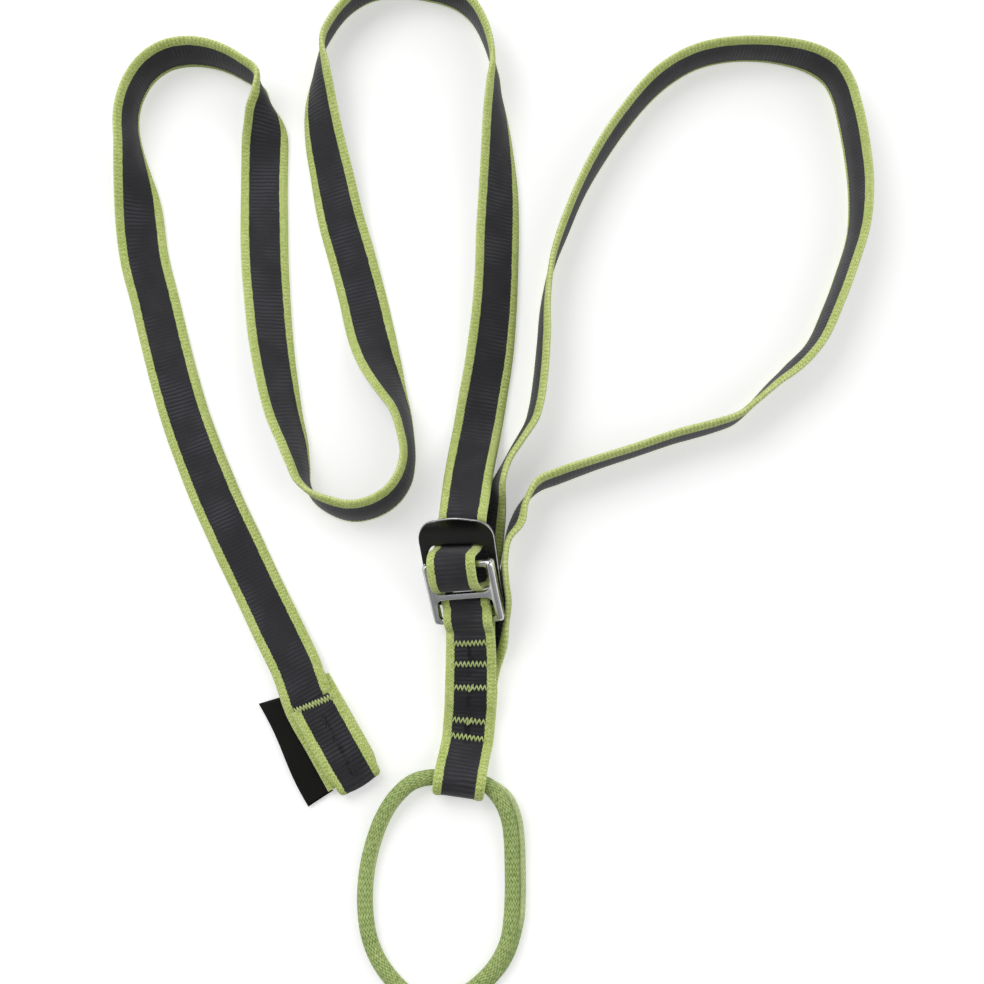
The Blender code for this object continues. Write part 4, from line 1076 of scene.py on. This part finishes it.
def tab_height(x, y):
    start = PLATE_BAR_WIDTH / 2 + PLATE_WINDOW_LENGTH + PLATE_RISE_START
    end = PLATE_BAR_WIDTH / 2 + PLATE_WINDOW_LENGTH + PLATE_TAB_LENGTH
    return PLATE_TAB_RISE * ramp(y, start, end) ** 2 * (1 + (x / PLATE_HALF_WIDTH) ** 2 / 3)


window_low = PLATE_BAR_WIDTH / 2
window_high = window_low + PLATE_WINDOW_LENGTH
plate_top = window_high + PLATE_TAB_LENGTH
foot_left, foot_right = PLATE_FOOT_ASIDE - PLATE_HALF_WIDTH, PLATE_FOOT_ASIDE + PLATE_HALF_WIDTH
tab_left, tab_right = PLATE_TAB_ASIDE - PLATE_HALF_WIDTH, PLATE_TAB_ASIDE + PLATE_HALF_WIDTH
outer_loop = outline_loop(
    (
        (foot_left + PLATE_FOOT_INSET, -window_low, PLATE_FOOT_CORNER),
        (foot_right, -window_low, PLATE_FOOT_CORNER),
        (tab_right, plate_top - PLATE_TAB_CROWN, PLATE_TAB_CORNER),
        (tab_left, plate_top - PLATE_TAB_CROWN, PLATE_TAB_CORNER),
    ),
    *PLATE_OUTLINE_STEPS, PLATE_CROWN_BULGE,
)
inner_loop = outline_loop(
    (
        (foot_left + PLATE_LEG_WIDTH + PLATE_FOOT_BROADER, window_low, PLATE_WINDOW_CORNER),
        (foot_right - PLATE_LEG_WIDTH, window_low, PLATE_WINDOW_CORNER),
        (tab_right - PLATE_LEG_WIDTH - PLATE_NECK_BROADER, window_high, PLATE_NECK_CORNER),
        (tab_left + PLATE_LEG_WIDTH + PLATE_NECK_BROADER, window_high, PLATE_NECK_CORNER),
    ),
    *PLATE_OUTLINE_STEPS,
)
plate_grid = []
wear_values = []
for inner, outer in zip(inner_loop, outer_loop):
    reach = (outer - inner).length
    away = (outer - inner) / reach
    edge = min(PLATE_EDGE_ROUND, reach / 2)
    marks = []
    for k in range(PLATE_ROUND_STEPS + 1):
        angle = math.pi / 2 * k / PLATE_ROUND_STEPS
        marks.append((edge * (1 - math.cos(angle)), edge * math.sin(angle)))
    profile = list(marks)
    for k in range(1, PLATE_ACROSS_STEPS):
        profile.append((edge + (reach - 2 * edge) * k / PLATE_ACROSS_STEPS, edge))
    profile += [(reach - step, rise) for step, rise in marks[::-1]]
    ring = []
    for face in (1, -1):
        for step, rise in profile if face == 1 else profile[-2:0:-1]:
            x, y = inner + away * step
            ring.append((x, y, tab_height(x, y) + face * (PLATE_THICKNESS / 2 - edge + rise)))
            leg_wear = WEAR_LEGS[x > 0.0]
            tab_wear = WEAR_BELOW_TAB + (1 - WEAR_BELOW_TAB) * ramp(y, window_high, window_high + WEAR_RUN)
            rim_wear = max(tab_wear, leg_wear) if face == 1 else tab_wear * WEAR_UNDERSIDE
            wear_values.append(ramp(reach - step, WEAR_WIDTH, 0.0) * rim_wear)
    plate_grid.append(ring)
plate_grid = np.array(plate_grid)
plate_lines = np.linspace(0.0, PLATE_GIRTH, len(plate_grid[0]) + 1)
plate_runs = np.linspace(0.0, PLATE_WAY_ROUND, len(plate_grid) + 1)
plate = loft("plate", plate_grid, plate_lines, plate_runs, black_metal, loop=True)
paint(plate, "wear", wear_values)
shift = Matrix.Translation(Vector(-MIDDLE))
plate.data.transform(shift @ buckle)
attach(plate, "plate")
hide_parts("buckle_plate")


# Buckle frame: bars and rails melted into one smooth casting
def slab(outlines, low, high):
    """A flat solid between two heights, the later outlines as holes."""
    curve = bpy.data.curves.new("slab", "CURVE")
    curve.dimensions = "2D"
    curve.fill_mode = "BOTH"
    curve.extrude = (high - low) / 2
    for outline in outlines:
        spline = curve.splines.new("POLY")
        spline.use_cyclic_u = True
        spline.points.add(len(outline) - 1)
        for spot, place in zip(spline.points, outline):
            spot.co = (place[0], place[1], 0.0, 1.0)
    flat = bpy.data.objects.new("slab", curve)
    SCENE.collection.objects.link(flat)
    bpy.context.view_layer.update()
    mesh = bpy.data.meshes.new_from_object(flat.evaluated_get(bpy.context.evaluated_depsgraph_get()))
    bpy.data.objects.remove(flat)
    mesh.transform(Matrix.Translation((0.0, 0.0, (high + low) / 2)))
    return mesh


def box_outline(left, low, right, high, low_corner, high_corner):
    low_corners = (left, low, low_corner), (right, low, low_corner)
    high_corners = (right, high, high_corner), (left, high, high_corner)
    return outline_loop(low_corners + high_corners, arc_steps=8, edge_steps=2)


frame_inner = FRAME_HALF_WIDTH - FRAME_RAIL_WIDTH
frame_low = -FRAME_LOWER_BAR_OFFSET - FRAME_BAR_WIDTH / 2
frame_high = FRAME_TOP_BAR_OFFSET + FRAME_BAR_WIDTH / 2
outer = box_outline(-FRAME_HALF_WIDTH, frame_low, FRAME_HALF_WIDTH, frame_high, FRAME_CORNER, FRAME_CORNER)
lower_window = box_outline(
    -frame_inner, frame_low + FRAME_BAR_WIDTH, frame_inner, -FRAME_CROSSBAR_WIDTH / 2,
    *FRAME_LOWER_WINDOW_CORNERS,
)
upper_window = box_outline(
    -frame_inner, FRAME_CROSSBAR_WIDTH / 2, frame_inner, frame_high - FRAME_BAR_WIDTH,
    *FRAME_UPPER_WINDOW_CORNERS,
)
parts = [slab((outer, lower_window, upper_window), -FRAME_BAR_THICKNESS / 2, FRAME_BAR_THICKNESS / 2)]
for side in (-1, 1):
    left, right = sorted((side * frame_inner, side * FRAME_HALF_WIDTH))
    for inset, corner, low, high in RAIL_SLABS:
        rail = box_outline(left + inset, frame_low + inset, right - inset, frame_high - inset, corner, corner)
        parts.append(slab((rail,), low - FRAME_RAIL_BELOW, FRAME_RAIL_ABOVE - high))
bm = bmesh.new()
for part in parts:
    bm.from_mesh(part)
bmesh.ops.remove_doubles(bm, verts=bm.verts, dist=WELD_DISTANCE)
frame_mesh = bpy.data.meshes.new("frame")
bm.to_mesh(frame_mesh)
bm.free()
frame_piece = bpy.data.objects.new("frame", frame_mesh)
SCENE.collection.objects.link(frame_piece)
melt = frame_piece.modifiers.new("melt", "REMESH")
melt.mode = "VOXEL"
melt.voxel_size = MELT_VOXEL
melt.use_smooth_shade = True
ease = frame_piece.modifiers.new("ease", "SMOOTH")
ease.iterations = EASE_ROUNDS
bpy.context.view_layer.update()
melted = bpy.data.meshes.new_from_object(frame_piece.evaluated_get(bpy.context.evaluated_depsgraph_get()))
frame_piece.modifiers.clear()
frame_piece.data = melted
frame_piece.data.materials.clear()
frame_piece.data.materials.append(bright_metal)
frame_place = Matrix.Translation((FRAME_CROSSBAR_ASIDE, FRAME_CROSSBAR_AHEAD, FRAME_CROSSBAR_LIFT))
frame_turn = Matrix.Rotation(FRAME_TURN, 4, "Z") @ Matrix.Rotation(FRAME_PITCH, 4, "X")
frame_piece.data.transform(shift @ buckle @ frame_place @ frame_turn)
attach(frame_piece, "sling")
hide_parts("buckle_frame")


# Ring: a closed tape and the lapped ply on its right side
def ring_marks(marks, height):
    return [(x * MILLIMETRE, y * MILLIMETRE, lift * MILLIMETRE + height / 2) for x, y, lift in marks]


closed_marks = ring_marks(RING_ROUTE[-2:] + RING_ROUTE + RING_ROUTE[:3], RING_HEIGHT)
ring_fine, ring_places = smooth(closed_marks, RING_SPACING)
ring_line = ring_fine[ring_places[2]:ring_places[-3]]
ring = tube("ring", ring_line - MIDDLE, RING_WIDTH, RING_HEIGHT, ring_fabric, RING_SIDES, loop=True)
# Painted highlight: the inner, right-facing side of the left limb, between the given places along the ring
highlight_limb = ramp(ring_line[:, 0], *HIGHLIGHT_LEFT_OF) * ramp(ring_line[:, 1], *HIGHLIGHT_BELOW)
highlight_limb = highlight_limb * ramp(ring_line[:, 1], *HIGHLIGHT_ABOVE)
angles = np.arange(RING_SIDES) / RING_SIDES * 2 * math.pi
highlight_side = ramp(np.cos(angles), *HIGHLIGHT_LEAN) * (np.sin(angles) > HIGHLIGHT_UNDER)
paint(ring, "painted_highlight", np.outer(highlight_limb, highlight_side).ravel())
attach(ring, "ring")
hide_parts("ring_tape")

lap_line, _ = smooth(ring_marks(RING_ROUTE[:LAP_MARKS], LAP_HEIGHT), RING_SPACING)
share = np.linspace(0.0, 1.0, len(lap_line))
lap_size = np.minimum(np.sqrt(share / LAP_START) + LAP_START_SIZE, (1 - share) / LAP_END + LAP_END_SIZE)
lap_size = np.minimum(lap_size, 1.0)
lap_inset = LAP_START_INSET * ramp(share, LAP_START, 0.0) ** 2
lap_inset = lap_inset + LAP_SINK_INSET * ramp(share, *LAP_SINK)
lap_out = (RING_WIDTH + LAP_WIDTH) / 2 - LAP_OVERLAP - lap_inset
lap_points = lap_line + unit(np.cross(UP, unit(np.gradient(lap_line, axis=0)))) * lap_out[:, None]
lap = tube("lap", lap_points - MIDDLE, LAP_WIDTH * lap_size, LAP_HEIGHT * lap_size, lap_fabric, LAP_SIDES)
paint(lap, "fade", np.repeat(ramp(share, *LAP_FADE), LAP_SIDES))
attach(lap, "ring")
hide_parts("ring_lap")
